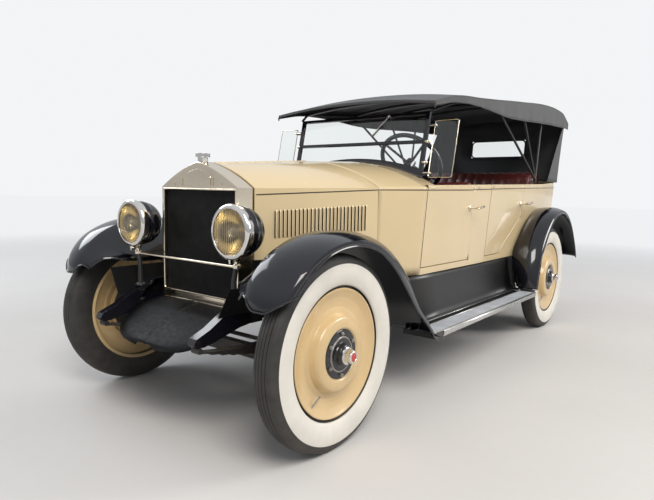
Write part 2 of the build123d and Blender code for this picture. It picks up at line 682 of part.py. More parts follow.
# Floor: flat in front, raised over the rear axle
with BuildPart() as front_floor:
    inner = polygon(Plane.XY.offset(SILL_Z), plan_points(BODY_TUCK, PLAN[0][1], WALL + 2))
    extrude(inner, amount=FLOOR_T)
    prism(Plane.XY.offset(SILL_Z), [(-472, COWL_FRONT_Y + 6), (472, COWL_FRONT_Y + 6), (550, -500),
        (-550, -500)], FLOOR_T)
    block(-700, 700, 1066, 2200, SILL_Z - 1, SILL_Z + FLOOR_T + 1, mode=Mode.SUBTRACT)
with BuildPart() as rear_floor:
    high = polygon(Plane.XY.offset(701), plan_points(BODY_TUCK, PLAN[0][1], WALL + 2))
    extrude(high, amount=FLOOR_T)
    block(-700, 700, -900, 1066, 690, 730, mode=Mode.SUBTRACT)
    block(-560, 560, 1060, 1079, SILL_Z, 712)
with BuildPart() as floor:
    add(front_floor.part)
    add(rear_floor.part)
finish(floor, "floor")

# Seats as plain solids: side profile y, z and half width
FRONT_SEAT = [(-70, 648.3), (-70, 800), (-110, 815), (-110, 925), (250, 915), (300, 1235), (345, 1250),
    (385, 1225), (350, 660), (250, 648.3)]
REAR_SEAT = [(1260, 719.3), (1260, 800), (1220, 815), (1220, 925), (1660, 915), (1740, 1300),
    (1800, 1330), (1860, 1290), (1790, 719.3)]
with BuildPart() as front_seat:
    prism(Plane.YZ, FRONT_SEAT, 560, both=True)
finish(front_seat, "front_seat")
with BuildPart() as rear_seat:
    prism(Plane.YZ, REAR_SEAT, 560, both=True)
finish(rear_seat, "rear_seat")

# Windscreen in its raked plane
SCREEN_Y = -315.0
SCREEN_Z = 1255.0
screen_plane = Plane(origin=(0, SCREEN_Y, SCREEN_Z), x_dir=(1, 0, 0), z_dir=(0, -314, 68))
SPLIT = 147.0
with BuildPart() as screen:
    face = outline(screen_plane, [
        ((-500.0, -78.0), (-500.0, 332.0)),
        ((-500.0, 332.0), (500.0, 332.0)),
        ((500.0, 332.0), (500.0, -78.0)),
        ((500.0, -78.0), (0.0, 25.0), (-500.0, -78.0)),
    ])
    extrude(face, amount=11, both=True)
    pane = outline(screen_plane, [
        ((-476.0, -20.0), (-476.0, SPLIT - 9)),
        ((-476.0, SPLIT - 9), (476.0, SPLIT - 9)),
        ((476.0, SPLIT - 9), (476.0, -20.0)),
        ((476.0, -20.0), (0.0, 50.0), (-476.0, -20.0)),
    ])
    extrude(pane, amount=20, both=True, mode=Mode.SUBTRACT)
    upper = polygon(screen_plane, [(-476, SPLIT + 9), (476, SPLIT + 9), (476, 314), (-476, 314)])
    extrude(upper, amount=20, both=True, mode=Mode.SUBTRACT)
    for side in (1, -1):
        for v in (-45.0, 245.0):
            prism(screen_plane, [(side * 498, v - 9), (side * 541, v - 9), (side * 541, v + 9),
                (side * 498, v + 9)], 7, both=True)
    add(cowl.part, mode=Mode.SUBTRACT)
finish(screen, "windscreen_frame")
with BuildPart() as glass:
    extrude(pane, amount=3, both=True)
    extrude(upper, amount=3, both=True)
finish(glass, "windscreen_glass")

# Wind wings: a pane outside each post, in the screen's plane
with BuildPart() as wing:
    prism(screen_plane, [(541, -70), (690, -70), (690, 272), (541, 272)], 3, both=True)
finish(both_sides(wing), "wind_wings")

# Steering column and wheel
with BuildPart() as column:
    rod(WHEEL_CENTRE + DOWN * 60, WHEEL_CENTRE + DOWN * 1010, 19)
    rod(WHEEL_CENTRE + DOWN * 50, WHEEL_CENTRE + DOWN * 130, 10 + RUN, mode=Mode.SUBTRACT)
    block(270, 323.5, -900, -820, 596, 690)
finish(column, "steering_column")
with BuildPart() as steering_wheel:
    wheel_face = Plane(origin=WHEEL_CENTRE, x_dir=(1, 0, 0), z_dir=DOWN * -1)
    with Locations(wheel_face.location):
        Torus(205, 14)
    rod(WHEEL_CENTRE + DOWN * 56, WHEEL_CENTRE - DOWN * 4, 32)
    rod(WHEEL_CENTRE + DOWN * 50, WHEEL_CENTRE + DOWN * 120, 10)
    for angle in (45, 135, 225, 315):
        tip = wheel_face.from_local_coords(Vector(202 * math.cos(math.radians(angle)),
            202 * math.sin(math.radians(angle)), 0))
        rod(WHEEL_CENTRE + DOWN * 20, tip, 8)
finish(steering_wheel, "steering_wheel")

# Top: arched cloth with side valances, stations y, edge height, crown height, valance bottom
TOP_STATIONS = [
    (-392.0, 604.0, 1612.0, 1650.0, 1590.0),
    (-140.0, 616.0, 1679.0, 1722.0, 1640.0),
    (202.0, 626.0, 1712.0, 1765.0, 1655.0),
    (700.0, 632.0, 1762.0, 1825.0, 1645.0),
    (1500.0, 638.0, 1842.0, 1905.0, 1690.0),
    (2000.0, 642.0, 1838.0, 1895.0, 1712.0),
    (2190.0, 644.0, 1770.0, 1815.0, 1716.0),
]
TOP_T = 12.0
with BuildPart() as top_cover:
    faces = []
    for y, half, edge, crown, low in TOP_STATIONS:
        t = TOP_T
        mid = (half * 0.55, edge + (crown - edge) * 0.74)
        faces.append(band(
            Plane.XZ.offset(-y),
            [((-half, low), (-half + 4, edge)), ((-half + 4, edge), (-mid[0], mid[1]), (0, crown)),
             ((0, crown), mid, (half - 4, edge)), ((half - 4, edge), (half, low))],
            [((-half + t, low), (-half + 4 + t, edge - t)),
             ((-half + 4 + t, edge - t), (-mid[0], mid[1] - t), (0, crown - t)),
             ((0, crown - t), (mid[0], mid[1] - t), (half - 4 - t, edge - t)),
             ((half - 4 - t, edge - t), (half - t, low))],
        ))
    loft(faces, ruled=True)
    block(-600, 600, -392, -370, 1575, 1604)
    prism(Plane.XZ.offset(-2190), [(-632, 1744), (632, 1744), (632, 1760), (350, 1792), (0, 1806),
        (-350, 1792), (-632, 1760)], 12)
finish(top_cover, "top_cover")

# Rear curtain and quarters: a bent sheet from the roof's back corner to the body
QUARTER_TOP_Y = 1900.0
QUARTER_LOW_Y = 1712.0
CURTAIN_T = 10.0
with BuildPart() as curtain:
    faces = []
    for z, half, front_y, back_y, corner in ((1227.3, 628.0, QUARTER_LOW_Y, 2118.0, 130.0),
        (1742.0, 628.0, QUARTER_TOP_Y, 2176.0, 60.0)):
        t = CURTAIN_T
        out = [(half, front_y), (half, back_y - corner), (half - corner, back_y)]
        inn = [(half - t, front_y), (half - t, back_y - corner - t * 0.4),
            (half - corner - t * 0.4, back_y - t)]
        points = out + [(-x, y) for x, y in reversed(out)] + [(-x, y) for x, y in inn] + list(reversed(inn))
        faces.append(polygon(Plane.XY.offset(z), points))
    loft(faces, ruled=True)
    with BuildSketch(Plane.XZ.offset(-2300)) as window:
        with Locations((0, 1548)):
            RectangleRounded(540, 165, 40)
    extrude(window.sketch, amount=400, mode=Mode.SUBTRACT)
finish(curtain, "rear_curtain")

# Bows that carry the top
with BuildPart() as bows:
    for y, half, crown, edge in ((-100.0, 596.0, 1700.0, 1656.0), (520.0, 604.0, 1780.0, 1722.0),
        (1060.0, 608.0, 1836.0, 1774.0), (1560.0, 612.0, 1876.0, 1818.0)):
        t = 18.0
        face = band(
            Plane.XZ.offset(-y),
            [((-half, edge), (0, crown), (half, edge))],
            [((-half, edge - t), (0, crown - t), (half, edge - t))],
        )
        extrude(face, amount=16, both=True)
    for side in (1, -1):
        for y, z in ((520.0, 1708.0), (1060.0, 1760.0), (1560.0, 1804.0)):
            rod((side * 598, 1470, 1230), (side * 598, y, z), 9)
        rod((side * 598, 1470, 1198), (side * 598, 1470, 1240), 12)
        rod((side * 598, 520.0, 1712.0), (side * 590, -100, 1648.0), 8)
        rod((side * 590, -100, 1646.0), (side * 506, -250, 1584.0), 8)
finish(bows, "top_bows")


def fender_section(plane, x_edge, r_edge, x_crest, r_crest, x_in, r_in, x_low, r_low):
    """Crowned sheet: outer lip, crown, inner shoulder and skirt; the crown's arcs are level at the crest."""
    t = FENDER_T

    def arc(x_end, r_end):
        dx = abs(x_end - x_crest)
        dr = max(r_crest - r_end, 1.0)
        radius = (dx * dx + dr * dr) / (2 * dr)
        whole = math.atan2(dx, radius - dr)
        sign = 1 if x_end > x_crest else -1
        def at(part, r):
            return (x_crest + sign * r * math.sin(whole * part),
                r_crest - radius + r * math.cos(whole * part))
        return [(at(0, radius), at(0.5, radius), at(1, radius)),
            (at(0, radius - t), at(0.5, radius - t), at(1, radius - t))]
    right, right_in = arc(x_edge, r_edge)
    left, left_in = arc(x_in, r_in)
    shift = (left_in[2][0] - left[2][0], left_in[2][1] - left[2][1])
    lip = (x_edge, r_edge - LIP)
    lip_in = (x_edge - t, r_edge - LIP)
    outer = [(lip, right[2]), (right[2], right[1], right[0]), left, (left[2], (x_low, r_low))]
    inner = [(lip_in, right_in[2]), (right_in[2], right_in[1], right_in[0]), left_in,
             (left_in[2], (x_low + shift[0], r_low + shift[1]))]
    return band(plane, outer, inner)


def radial_plane(axle_y, angle):
    c = math.cos(math.radians(angle))
    s = math.sin(math.radians(angle))
    return Plane(origin=(0, axle_y, AXLE_Z), x_dir=(1, 0, 0), z_dir=(0, -s, c))


# Front fender stations: angle over the wheel, edge inside the board's outer side, edge radius,
# crest x and radius, shoulder radius, skirt x and radius
FENDER_T = 5.0
LIP = 22.0
SHOULDER_X = 606.0
BOARD_Z0 = 345.0
BOARD_Z1 = 375.0
BOARD_OUT = 840.0
BOARD_IN = 644.0
BOARD_Y0 = FRONT_Y + 722.0
BOARD_Y1 = REAR_Y - 575.0
FRONT_FENDER = [
    (-4.0, 2.0, 718.0, 738.0, 762.0, 748.0, 560.0, 735.0),
    (10.0, 12.0, 575.0, 735.0, 645.0, 632.0, 560.0, 610.0),
    (25.0, 19.0, 516.0, 730.0, 596.0, 578.0, 540.0, 555.0),
    (42.0, 20.0, 487.0, 726.0, 562.0, 540.0, 510.0, 480.0),
    (58.0, 20.0, 482.0, 712.0, 542.0, 520.0, 452.0, 385.0),
    (75.0, 20.0, 478.0, 690.0, 520.0, 507.0, 444.0, 310.0),
    (92.0, 20.0, 476.0, 676.0, 509.0, 500.0, 442.0, 288.0),
    (110.0, 20.0, 478.0, 668.0, 510.0, 503.0, 444.0, 305.0),
    (125.0, 25.0, 475.0, 655.0, 514.0, 508.0, 452.0, 360.0),
    (136.0, 36.0, 462.0, 650.0, 508.0, 502.0, 490.0, 440.0),
    (144.0, 50.0, 448.0, 655.0, 490.0, 480.0, 540.0, 450.0),
    (150.5, 78.0, 438.0, 668.0, 466.0, 460.0, 585.0, 440.0),
]
# Front view of what rounds off the nose: x, z
NOSE_CORNERS = [
    [(690, 560), (690, 645), (745, 664), (800, 708), (850, 742), (850, 560)],
    [(560, 560), (560, 706), (608, 690), (638, 657), (668, 645), (668, 560)],
]
with BuildPart() as front_fender:
    loft([
        fender_section(radial_plane(FRONT_Y, angle), BOARD_OUT - inset, edge, x_crest, crest, SHOULDER_X,
            shoulder, x_low, low)
        for angle, inset, edge, x_crest, crest, shoulder, x_low, low in FRONT_FENDER
    ], ruled=True)
    block(BOARD_IN, 900, BOARD_Y0, 0, 300, BOARD_Z1, mode=Mode.SUBTRACT)
    for corner in NOSE_CORNERS:
        prism(Plane.XZ.offset(-FRONT_Y + 300), corner, 200, mode=Mode.SUBTRACT)
finish(both_sides(front_fender), "front_fenders")

# Rear fender stations: angle over the wheel, edge radius, crest x and radius, inner x and radius
REAR_FENDER = [
    (182.4, 577.0, 765.0, 596.0, 690.0, 520.0),
    (168.0, 556.0, 752.0, 600.0, 664.0, 572.0),
    (154.0, 552.0, 742.0, 598.0, 648.0, 586.0),
    (140.0, 536.0, 736.0, 586.0, 646.0, 562.0),
    (125.0, 540.0, 736.0, 580.0, 646.0, 556.0),
    (108.0, 554.0, 738.0, 580.0, 646.0, 560.0),
    (90.0, 557.0, 740.0, 582.0, 646.0, 570.0),
    (72.0, 546.0, 740.0, 578.0, 646.0, 566.0),
    (54.0, 532.0, 740.0, 566.0, 640.0, 556.0),
    (36.0, 527.0, 740.0, 560.0, 620.0, 550.0),
    (14.5, 552.0, 740.0, 578.0, 600.0, 566.0),
]
with BuildPart() as rear_fender:
    loft([
        fender_section(radial_plane(REAR_Y, angle), BOARD_OUT, edge, x_crest, crest, x_in, r_in,
            x_in - 24, r_in - 14)
        for angle, edge, x_crest, crest, x_in, r_in in REAR_FENDER
    ], ruled=True)
    add(outer_form.part, mode=Mode.SUBTRACT)
    block(BOARD_IN, 900, 0, BOARD_Y1, 300, BOARD_Z1, mode=Mode.SUBTRACT)
finish(both_sides(rear_fender), "rear_fenders")

# Running boards and the sloping aprons between board and body
with BuildPart() as board:
    block(BOARD_IN, BOARD_OUT, BOARD_Y0, BOARD_Y1, BOARD_Z0, BOARD_Z1)
finish(both_sides(board), "running_boards")
with BuildPart() as apron:
    prism(Plane.XZ.offset(930), [(640, BOARD_Z1), (BOARD_IN, BOARD_Z1), (604, 629), (600, 629)],
        -(930 + BOARD_Y1))
    fore_edge = [(-1000, 300), (-704, 300), (-704, 375), (-815, 533), (-879, 629), (-879, 640),
        (-1000, 640)]
    prism(Plane.YZ, fore_edge, 700, mode=Mode.SUBTRACT)
with BuildPart() as front_shield:
    prism(Plane.XZ.offset(1780), [(438, 690), (442, 690), (372.5, 560), (368.5, 560)], -640)
with BuildPart() as front_apron:
    prism(Plane.YZ, [(-1600, 545), (-1700, 520), (-1830, 440), (-1880, 405), (-1884, 402), (-1886, 408),
        (-1834, 446), (-1702, 526), (-1600, 551)], 323.5, both=True)
with BuildPart() as aprons:
    add(apron.part)
    mirror(apron.part, about=Plane.YZ)
    add(front_shield.part)
    mirror(front_shield.part, about=Plane.YZ)
    add(front_apron.part)
finish(aprons, "splash_aprons")

# Headlamps: bowl, rim, lens and the bar that joins them
LAMP_X = 363.0
LAMP_Z = 913.0
LAMP_FRONT = -1720.0
BAR_Y = LAMP_FRONT + 48
BAR_Z = 762.0
lamp_plane = Plane(origin=(LAMP_X, 0, LAMP_Z), x_dir=(1, 0, 0), z_dir=(0, 0, 1))
lamp_axis = Axis((LAMP_X, 0, LAMP_Z), (0, 1, 0))


def dome(apex, radius, rim):
    """Arc from the lamp's axis out to a rim, level at the axis."""
    depth = abs(rim - apex)
    ball = (radius * radius + depth * depth) / (2 * depth)
    turn = math.atan2(radius, ball - depth) / 2
    sign = 1 if rim > apex else -1
    return ((0.0, apex), (ball * math.sin(turn), apex + sign * (ball - ball * math.cos(turn))),
        (radius, rim))


BOWL_BACK = LAMP_FRONT + 165
with BuildPart() as lamp:
    back_in = dome(BOWL_BACK - 4, 102.0, LAMP_FRONT + 50)
    revolve(outline(lamp_plane, [
        dome(BOWL_BACK, 106.0, LAMP_FRONT + 50),
        ((106.0, LAMP_FRONT + 50), (108.0, LAMP_FRONT + 22)),
        ((108.0, LAMP_FRONT + 22), (117.0, LAMP_FRONT + 18)),
        ((117.0, LAMP_FRONT + 18), (117.0, LAMP_FRONT + 4)),
        ((117.0, LAMP_FRONT + 4), (106.0, LAMP_FRONT)),
        ((106.0, LAMP_FRONT), (106.0, LAMP_FRONT + 12)),
        ((106.0, LAMP_FRONT + 12), (102.0, LAMP_FRONT + 14)),
        ((102.0, LAMP_FRONT + 14), (102.0, LAMP_FRONT + 50)),
        back_in,
        ((0.0, BOWL_BACK - 4), (0.0, BOWL_BACK)),
    ]), axis=lamp_axis)
    rod((LAMP_X, BAR_Y, LAMP_Z - 125), (LAMP_X, BAR_Y, LAMP_Z - 101), 12)
finish(both_sides(lamp), "headlamps")
with BuildPart() as lens:
    revolve(outline(lamp_plane, [
        dome(LAMP_FRONT - 6, 106.0, LAMP_FRONT + 5),
        ((106.0, LAMP_FRONT + 5), (106.0, LAMP_FRONT + 11)),
        dome(LAMP_FRONT, 106.0, LAMP_FRONT + 11),
        ((0.0, LAMP_FRONT), (0.0, LAMP_FRONT - 6)),
    ]), axis=lamp_axis)
finish(both_sides(lens), "headlamp_lenses")
with BuildPart() as lamp_bar:
    rod((-LAMP_X, BAR_Y, BAR_Z), (LAMP_X, BAR_Y, BAR_Z), 13)
    for side in (1, -1):
        rod((side * RAIL_X, BAR_Y, 602), (side * RAIL_X, BAR_Y, BAR_Z + 12), 17)
        rod((side * LAMP_X, BAR_Y, BAR_Z), (side * LAMP_X, BAR_Y, LAMP_Z - 125), 14)
    add(rail.part, mode=Mode.SUBTRACT)
    mirror(rail.part, about=Plane.YZ, mode=Mode.SUBTRACT)
finish(lamp_bar, "lamp_bar")

# Tail lamp on a bracket at the left
with BuildPart() as tail_lamp:
    rod((505, 2060, 690), (505, 2196, 690), 9)
    rod((505, 2180, 690), (505, 2232, 690), 44)
    add(outer_form.part, mode=Mode.SUBTRACT)
finish(tail_lamp, "tail_lamp")
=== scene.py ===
"""Looks of a 1920s five-seat touring car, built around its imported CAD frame."""
import json
import logging
import math
from dataclasses import dataclass
from enum import Enum
from functools import cache
from typing import Callable, Sequence

import bmesh
import bpy
from mathutils import Matrix, Vector

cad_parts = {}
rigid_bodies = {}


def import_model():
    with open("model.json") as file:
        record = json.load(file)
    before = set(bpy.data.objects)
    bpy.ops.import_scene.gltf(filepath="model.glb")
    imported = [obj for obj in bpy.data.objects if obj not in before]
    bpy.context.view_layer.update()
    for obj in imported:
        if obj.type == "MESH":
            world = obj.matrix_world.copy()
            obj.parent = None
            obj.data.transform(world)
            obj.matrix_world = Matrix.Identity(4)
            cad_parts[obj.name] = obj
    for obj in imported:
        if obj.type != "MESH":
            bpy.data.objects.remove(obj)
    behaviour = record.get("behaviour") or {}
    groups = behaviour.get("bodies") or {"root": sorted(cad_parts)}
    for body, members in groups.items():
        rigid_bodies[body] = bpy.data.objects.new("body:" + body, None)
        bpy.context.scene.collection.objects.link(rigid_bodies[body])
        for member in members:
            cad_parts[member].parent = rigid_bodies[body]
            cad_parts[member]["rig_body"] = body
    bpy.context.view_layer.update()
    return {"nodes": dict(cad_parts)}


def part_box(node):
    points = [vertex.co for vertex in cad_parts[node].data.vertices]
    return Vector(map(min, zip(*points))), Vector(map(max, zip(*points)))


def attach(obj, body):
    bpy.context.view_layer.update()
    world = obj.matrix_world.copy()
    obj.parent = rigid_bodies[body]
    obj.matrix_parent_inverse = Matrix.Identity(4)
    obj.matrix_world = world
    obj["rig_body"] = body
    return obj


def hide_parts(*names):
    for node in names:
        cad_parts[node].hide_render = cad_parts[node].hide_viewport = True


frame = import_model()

MM = 0.001
Point = tuple[float, float, float]
Pair = tuple[float, float]
Colour = tuple[float, float, float]
Corners = Sequence[Sequence[float]]
Object = bpy.types.Object
Mesh = bpy.types.Mesh
Material = bpy.types.Material
Tree = bpy.types.NodeTree
Node = bpy.types.Node
Socket = bpy.types.NodeSocket
log = logging.getLogger("touring_car")

WHEELBASE = 2921.0
HALF_TRACK = 711.0
AXLE_Z = 419.0
FRONT_Y = -WHEELBASE / 2
REAR_Y = WHEELBASE / 2
MID_Y = (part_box("tyre_front_left")[0].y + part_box("tyre_rear_left")[1].y) / 2
ORIGIN = (0.0, -MID_Y / MM, 0.0)  # the frame's origin, from the middle of the wheelbase
LEFTWARDS: Point = (1, 0, 0)
REARWARDS: Point = (0, 1, 0)
UP: Point = (0, 0, 1)


class Side(Enum):
    """A side of the car; its value is the sign of x there."""

    LEFT = 1
    RIGHT = -1

    @property
    def label(self) -> str:
        """The side's name in the names of pieces, bodies and nodes."""
        return self.name.lower()

    def of(self, name: str) -> str:
        """A body or node of this side; the chassis has none."""
        return name if name == "chassis" else f"{name}_{self.label}"


def place(x: float, y: float, z: float) -> Vector:
    """A point in millimetres from the middle of the wheelbase, as metres in the frame.

    Args:
        x: towards the car's left.
        y: towards its tail.
        z: up from the floor.

    Returns:
        The point in the frame's metres.
    """
    return Vector((x * MM, y * MM + MID_Y, z * MM))


def linked(name: str, data: bpy.types.ID) -> Object:
    """A new object in the scene that holds a mesh, a lamp or a camera."""
    obj = bpy.data.objects.new(name, data)
    bpy.context.scene.collection.objects.link(obj)
    return obj


def blend_table(table: Sequence[tuple[float, ...]], at: float) -> list[float]:
    """Smooth value of a table of stations at a key.

    Args:
        table: rows whose first number is the key, in rising or falling order.
        at: the key to read at.

    Returns:
        The other columns at that key, on a smooth curve through the rows.
    """
    rows = sorted(table)
    at = min(max(at, rows[0][0]), rows[-1][0])
    i = max(k for k in range(len(rows) - 1) if rows[k][0] <= at)
    a, b = rows[i], rows[i + 1]
    before, after = rows[max(i - 1, 0)], rows[min(i + 2, len(rows) - 1)]
    span = b[0] - a[0]
    t = (at - a[0]) / span
    result = []
    for k in range(1, len(a)):
        slope_a = (b[k] - before[k]) / max(b[0] - before[0], 1e-6) * span
        slope_b = (after[k] - a[k]) / max(after[0] - a[0], 1e-6) * span
        result.append((2 * t**3 - 3 * t**2 + 1) * a[k] + (t**3 - 2 * t**2 + t) * slope_a
                      + (3 * t**2 - 2 * t**3) * b[k] + (t**3 - t**2) * slope_b)
    return result


def lerp_table(table: Sequence[Pair], at: float) -> float:
    """Straight-line value of a two-column table.

    Args:
        table: pairs of key and value, keys rising.
        at: the key to read at.

    Returns:
        The value there.
    """
    if at <= table[0][0]:
        return table[0][1]
    for (a, va), (b, vb) in zip(table, table[1:]):
        if at <= b:
            return va + (vb - va) * (at - a) / (b - a)
    return table[-1][1]


def eased(profile: Corners, radius: float, steps: int = 4) -> list[tuple[float, ...]]:
    """A chain of points with its inner corners rounded.

    Args:
        profile: the corners, in two or three numbers each.
        radius: how far from a corner the rounding starts.
        steps: segments in a rounded corner.

    Returns:
        The rounded chain.
    """
    points = [Vector((*p, 0.0)) if len(p) == 2 else Vector(p) for p in profile]
    out = [points[0]]
    for a, corner, b in zip(points, points[1:], points[2:]):
        before, after = a - corner, b - corner
        start = corner + before.normalized() * min(radius, before.length * 0.48)
        end = corner + after.normalized() * min(radius, after.length * 0.48)
        for k in range(steps + 1):
            t = k / steps
            out.append(start * (1 - t) ** 2 + corner * 2 * t * (1 - t) + end * t * t)
    out.append(points[-1])
    return [tuple(p)[: len(profile[0])] for p in out]


def arc(start: Pair, mid: Pair, end: Pair, steps: int = 8) -> list[Pair]:
    """Points on the circle through three points.

    Args:
        start: first point.
        mid: a point between.
        end: last point.
        steps: segments of the arc.

    Returns:
        The points from start to end.
    """
    (ax, ay), (bx, by), (cx, cy) = start, mid, end
    d = 2 * (ax * (by - cy) + bx * (cy - ay) + cx * (ay - by))
    ux = ((ax**2 + ay**2) * (by - cy) + (bx**2 + by**2) * (cy - ay) + (cx**2 + cy**2) * (ay - by)) / d
    uy = ((ax**2 + ay**2) * (cx - bx) + (bx**2 + by**2) * (ax - cx) + (cx**2 + cy**2) * (bx - ax)) / d
    a0, a1, a2 = (math.atan2(y - uy, x - ux) for x, y in (start, mid, end))
    turn = (a2 - a0) % (2 * math.pi)
    if (a1 - a0) % (2 * math.pi) > turn:
        turn -= 2 * math.pi
    r = math.hypot(ax - ux, ay - uy)
    return [(ux + r * math.cos(a0 + turn * k / steps), uy + r * math.sin(a0 + turn * k / steps))
            for k in range(steps + 1)]


class Form:
    """Vertices and faces of one piece, in millimetres from the middle of the wheelbase."""

    def __init__(self) -> None:
        """Start with no faces."""
        self.points: list[Point] = []
        self.faces: list[tuple[int, ...]] = []
        self.paints: list[int] = []

    def add(self, points: Corners, faces: Sequence[Sequence[int]], paint: int = 0) -> None:
        """Add loose faces.

        Args:
            points: their corners.
            faces: corner numbers of each face.
            paint: the finish they take.
        """
        base = len(self.points)
        self.points += [tuple(p) for p in points]
        self.faces += [tuple(base + i for i in f) for f in faces]
        self.paints += [paint] * len(faces)

    def grid(self, rows: Sequence[Corners], wrap_rows: bool = False, wrap_columns: bool = False,
             paint: int | Sequence[int] = 0) -> None:
        """Join rows of points with quads.

        Args:
            rows: rows of the same length.
            wrap_rows: join the last row to the first.
            wrap_columns: join the last column to the first.
            paint: one finish, or one for each column of faces.
        """
        n, m = len(rows[0]), len(rows)
        base = len(self.points)
        self.points += [tuple(p) for row in rows for p in row]
        for i in range(m if wrap_rows else m - 1):
            for j in range(n if wrap_columns else n - 1):
                k = (i + 1) % m
                self.faces.append((base + i * n + j, base + i * n + (j + 1) % n, base + k * n + (j + 1) % n,
                                   base + k * n + j))
                self.paints.append(paint if isinstance(paint, int) else paint[j])

    def lathe(self, profile: Sequence[Pair], centre: Point, axis: Point, steps: int = 64,
              paint: int | Sequence[int] = 0) -> None:
        """Turn a profile about an axis.

        Args:
            profile: pairs of distance along the axis and radius.
            centre: a point on the axis.
            axis: its direction.
            steps: segments round it.
            paint: one finish, or one for each segment of the profile.
        """
        along = Vector(axis).normalized()
        first = along.orthogonal().normalized() if abs(along.z) > 0.9 else Vector(UP)
        first = (first - along * first.dot(along)).normalized()
        second = along.cross(first)
        rows = []
        for k in range(steps):
            angle = math.radians(360.0 * k / steps)
            out = first * math.cos(angle) + second * math.sin(angle)
            rows.append([tuple(Vector(centre) + along * a + out * r) for a, r in profile])
        self.grid(rows, wrap_rows=True, paint=paint)

    def tube(self, path: Corners, radius: float | Sequence[float], sides: int = 12, closed: bool = False,
             flat: float = 1.0) -> None:
        """Sweep a round or oval section along a path.

        Args:
            path: points of the path.
            radius: one radius, or one for each point.
            sides: segments of the section.
            closed: join the path's ends.
            flat: height of the section as a share of its width.
        """
        points = [Vector(p) for p in path]
        n = len(points)
        radii = [radius] * n if isinstance(radius, (int, float)) else list(radius)
        rows = []
        side = None
        for i, p in enumerate(points):
            ahead = points[(i + 1) % n] if closed or i + 1 < n else p
            behind = points[i - 1] if closed or i > 0 else p
            along = (ahead - behind).normalized()
            if side is None:
                side = along.cross(Vector(UP))
                side = side if side.length > 0.1 else along.cross(Vector(REARWARDS))
            side = (side - along * side.dot(along)).normalized()
            up = side.cross(along)
            rows.append([tuple(p + (side * math.cos(a) + up * math.sin(a) * flat) * radii[i])
                         for a in (2 * math.pi * k / sides for k in range(sides))])
        self.grid(rows, wrap_rows=closed, wrap_columns=True)
        if not closed:
            for row in (rows[0], rows[-1]):
                self.add(row, [tuple(range(sides))])

    def block(self, low: Point, high: Point, paint: int = 0) -> None:
        """Add a box between two corners."""
        (x0, y0, z0), (x1, y1, z1) = low, high
        self.prism([(x0, y0, z0), (x1, y0, z0), (x1, y1, z0), (x0, y1, z0)], (0, 0, z1 - z0), paint)

    def cap(self, rows: Sequence[Corners], paint: int = 0) -> None:
        """Close both ends of a section that was swept through rows of points."""
        corners = tuple(range(len(rows[0])))
        self.add(rows[0], [corners], paint)
        self.add(rows[-1], [corners[::-1]], paint)

    def prism(self, outline: Sequence[Point], shift: Point, paint: int = 0) -> None:
        """Add a flat outline pushed along a direction.

        Args:
            outline: corners of the flat face.
            shift: how far and which way it is pushed.
            paint: the finish.
        """
        n = len(outline)
        far = [tuple(Vector(p) + Vector(shift)) for p in outline]
        faces = [tuple(range(n)), tuple(range(2 * n - 1, n - 1, -1))]
        faces += [(i, i + n, (i + 1) % n + n, (i + 1) % n) for i in range(n)]
        self.add(list(outline) + far, faces, paint)

    def mirrored(self) -> "Form":
        """The same form on the car's other side.

        Returns:
            A new form, its faces still outwards.
        """
        twin = Form()
        twin.points = [(-x, y, z) for x, y, z in self.points]
        twin.faces = [tuple(reversed(f)) for f in self.faces]
        twin.paints = list(self.paints)
        return twin

    def take(self, other: "Form") -> None:
        """Add all of another form."""
        base = len(self.points)
        self.points += other.points
        self.faces += [tuple(base + i for i in f) for f in other.faces]
        self.paints += other.paints

    def mesh(self, name: str, finishes: Sequence["Finish"], angle: float = 36.0) -> Mesh:
        """Make the mesh in the frame's metres, merged, with its faces outwards.

        Args:
            name: its name.
            finishes: the finishes that the paint numbers stand for.
            angle: edges sharper than this stay sharp.

        Returns:
            The mesh.
        """
        mesh = bpy.data.meshes.new(name)
        mesh.from_pydata([tuple(place(*p)) for p in self.points], [], self.faces)
        for finish in finishes:
            mesh.materials.append(finish.material())
        mesh.polygons.foreach_set("material_index", self.paints)
        work = bmesh.new()
        work.from_mesh(mesh)
        bmesh.ops.remove_doubles(work, verts=work.verts, dist=2e-5)
        bmesh.ops.dissolve_degenerate(work, edges=work.edges, dist=1e-6)
        bmesh.ops.recalc_face_normals(work, faces=work.faces)
        work.to_mesh(mesh)
        work.free()
        mesh.shade_smooth()
        mesh.set_sharp_from_angle(angle=math.radians(angle))
        return mesh

    def piece(self, name: str, body: str, finishes: Sequence["Finish"], slot: str, replaces: Sequence[str] = (),
              angle: float = 36.0, wall: float = 0.0, bevel: float = 0.0) -> Object:
        """Make the finished piece and fix it to its body.

        Args:
            name: its name.
            body: the body that it rides on.
            finishes: the finishes that the paint numbers stand for.
            slot: the record's material slot; not used.
            replaces: CAD nodes that it stands for.
            angle: edges sharper than this stay sharp.
            wall: thickness given to an open sheet, inwards.
            bevel: width of the softened edges.

        Returns:
            The object.
        """
        obj = linked(name, self.mesh(name, finishes, angle))
        if wall:
            thick = obj.modifiers.new("wall", "SOLIDIFY")
            thick.thickness = wall * MM
            thick.offset = -1
        if bevel:
            soften(obj, bevel)
        return fix(obj, body, replaces)


def subdivide(obj: Object, levels: int) -> None:
    """Smooth a piece with the same level in view and render."""
    smooth = obj.modifiers.new("round", "SUBSURF")
    smooth.levels = smooth.render_levels = levels


SOFT_ANGLE = math.radians(40.0)
SKIN_ANGLE = math.radians(34.0)


def soften(obj: Object, width: float) -> None:
    """Soften the sharp edges of a piece.

    Args:
        obj: the piece.
        width: of the softened edge, in millimetres.
    """
    edge = obj.modifiers.new("soft_edge", "BEVEL")
    edge.width = width * MM
    edge.segments = 2
    edge.limit_method = "ANGLE"
    edge.angle_limit = SOFT_ANGLE
    edge.harden_normals = True


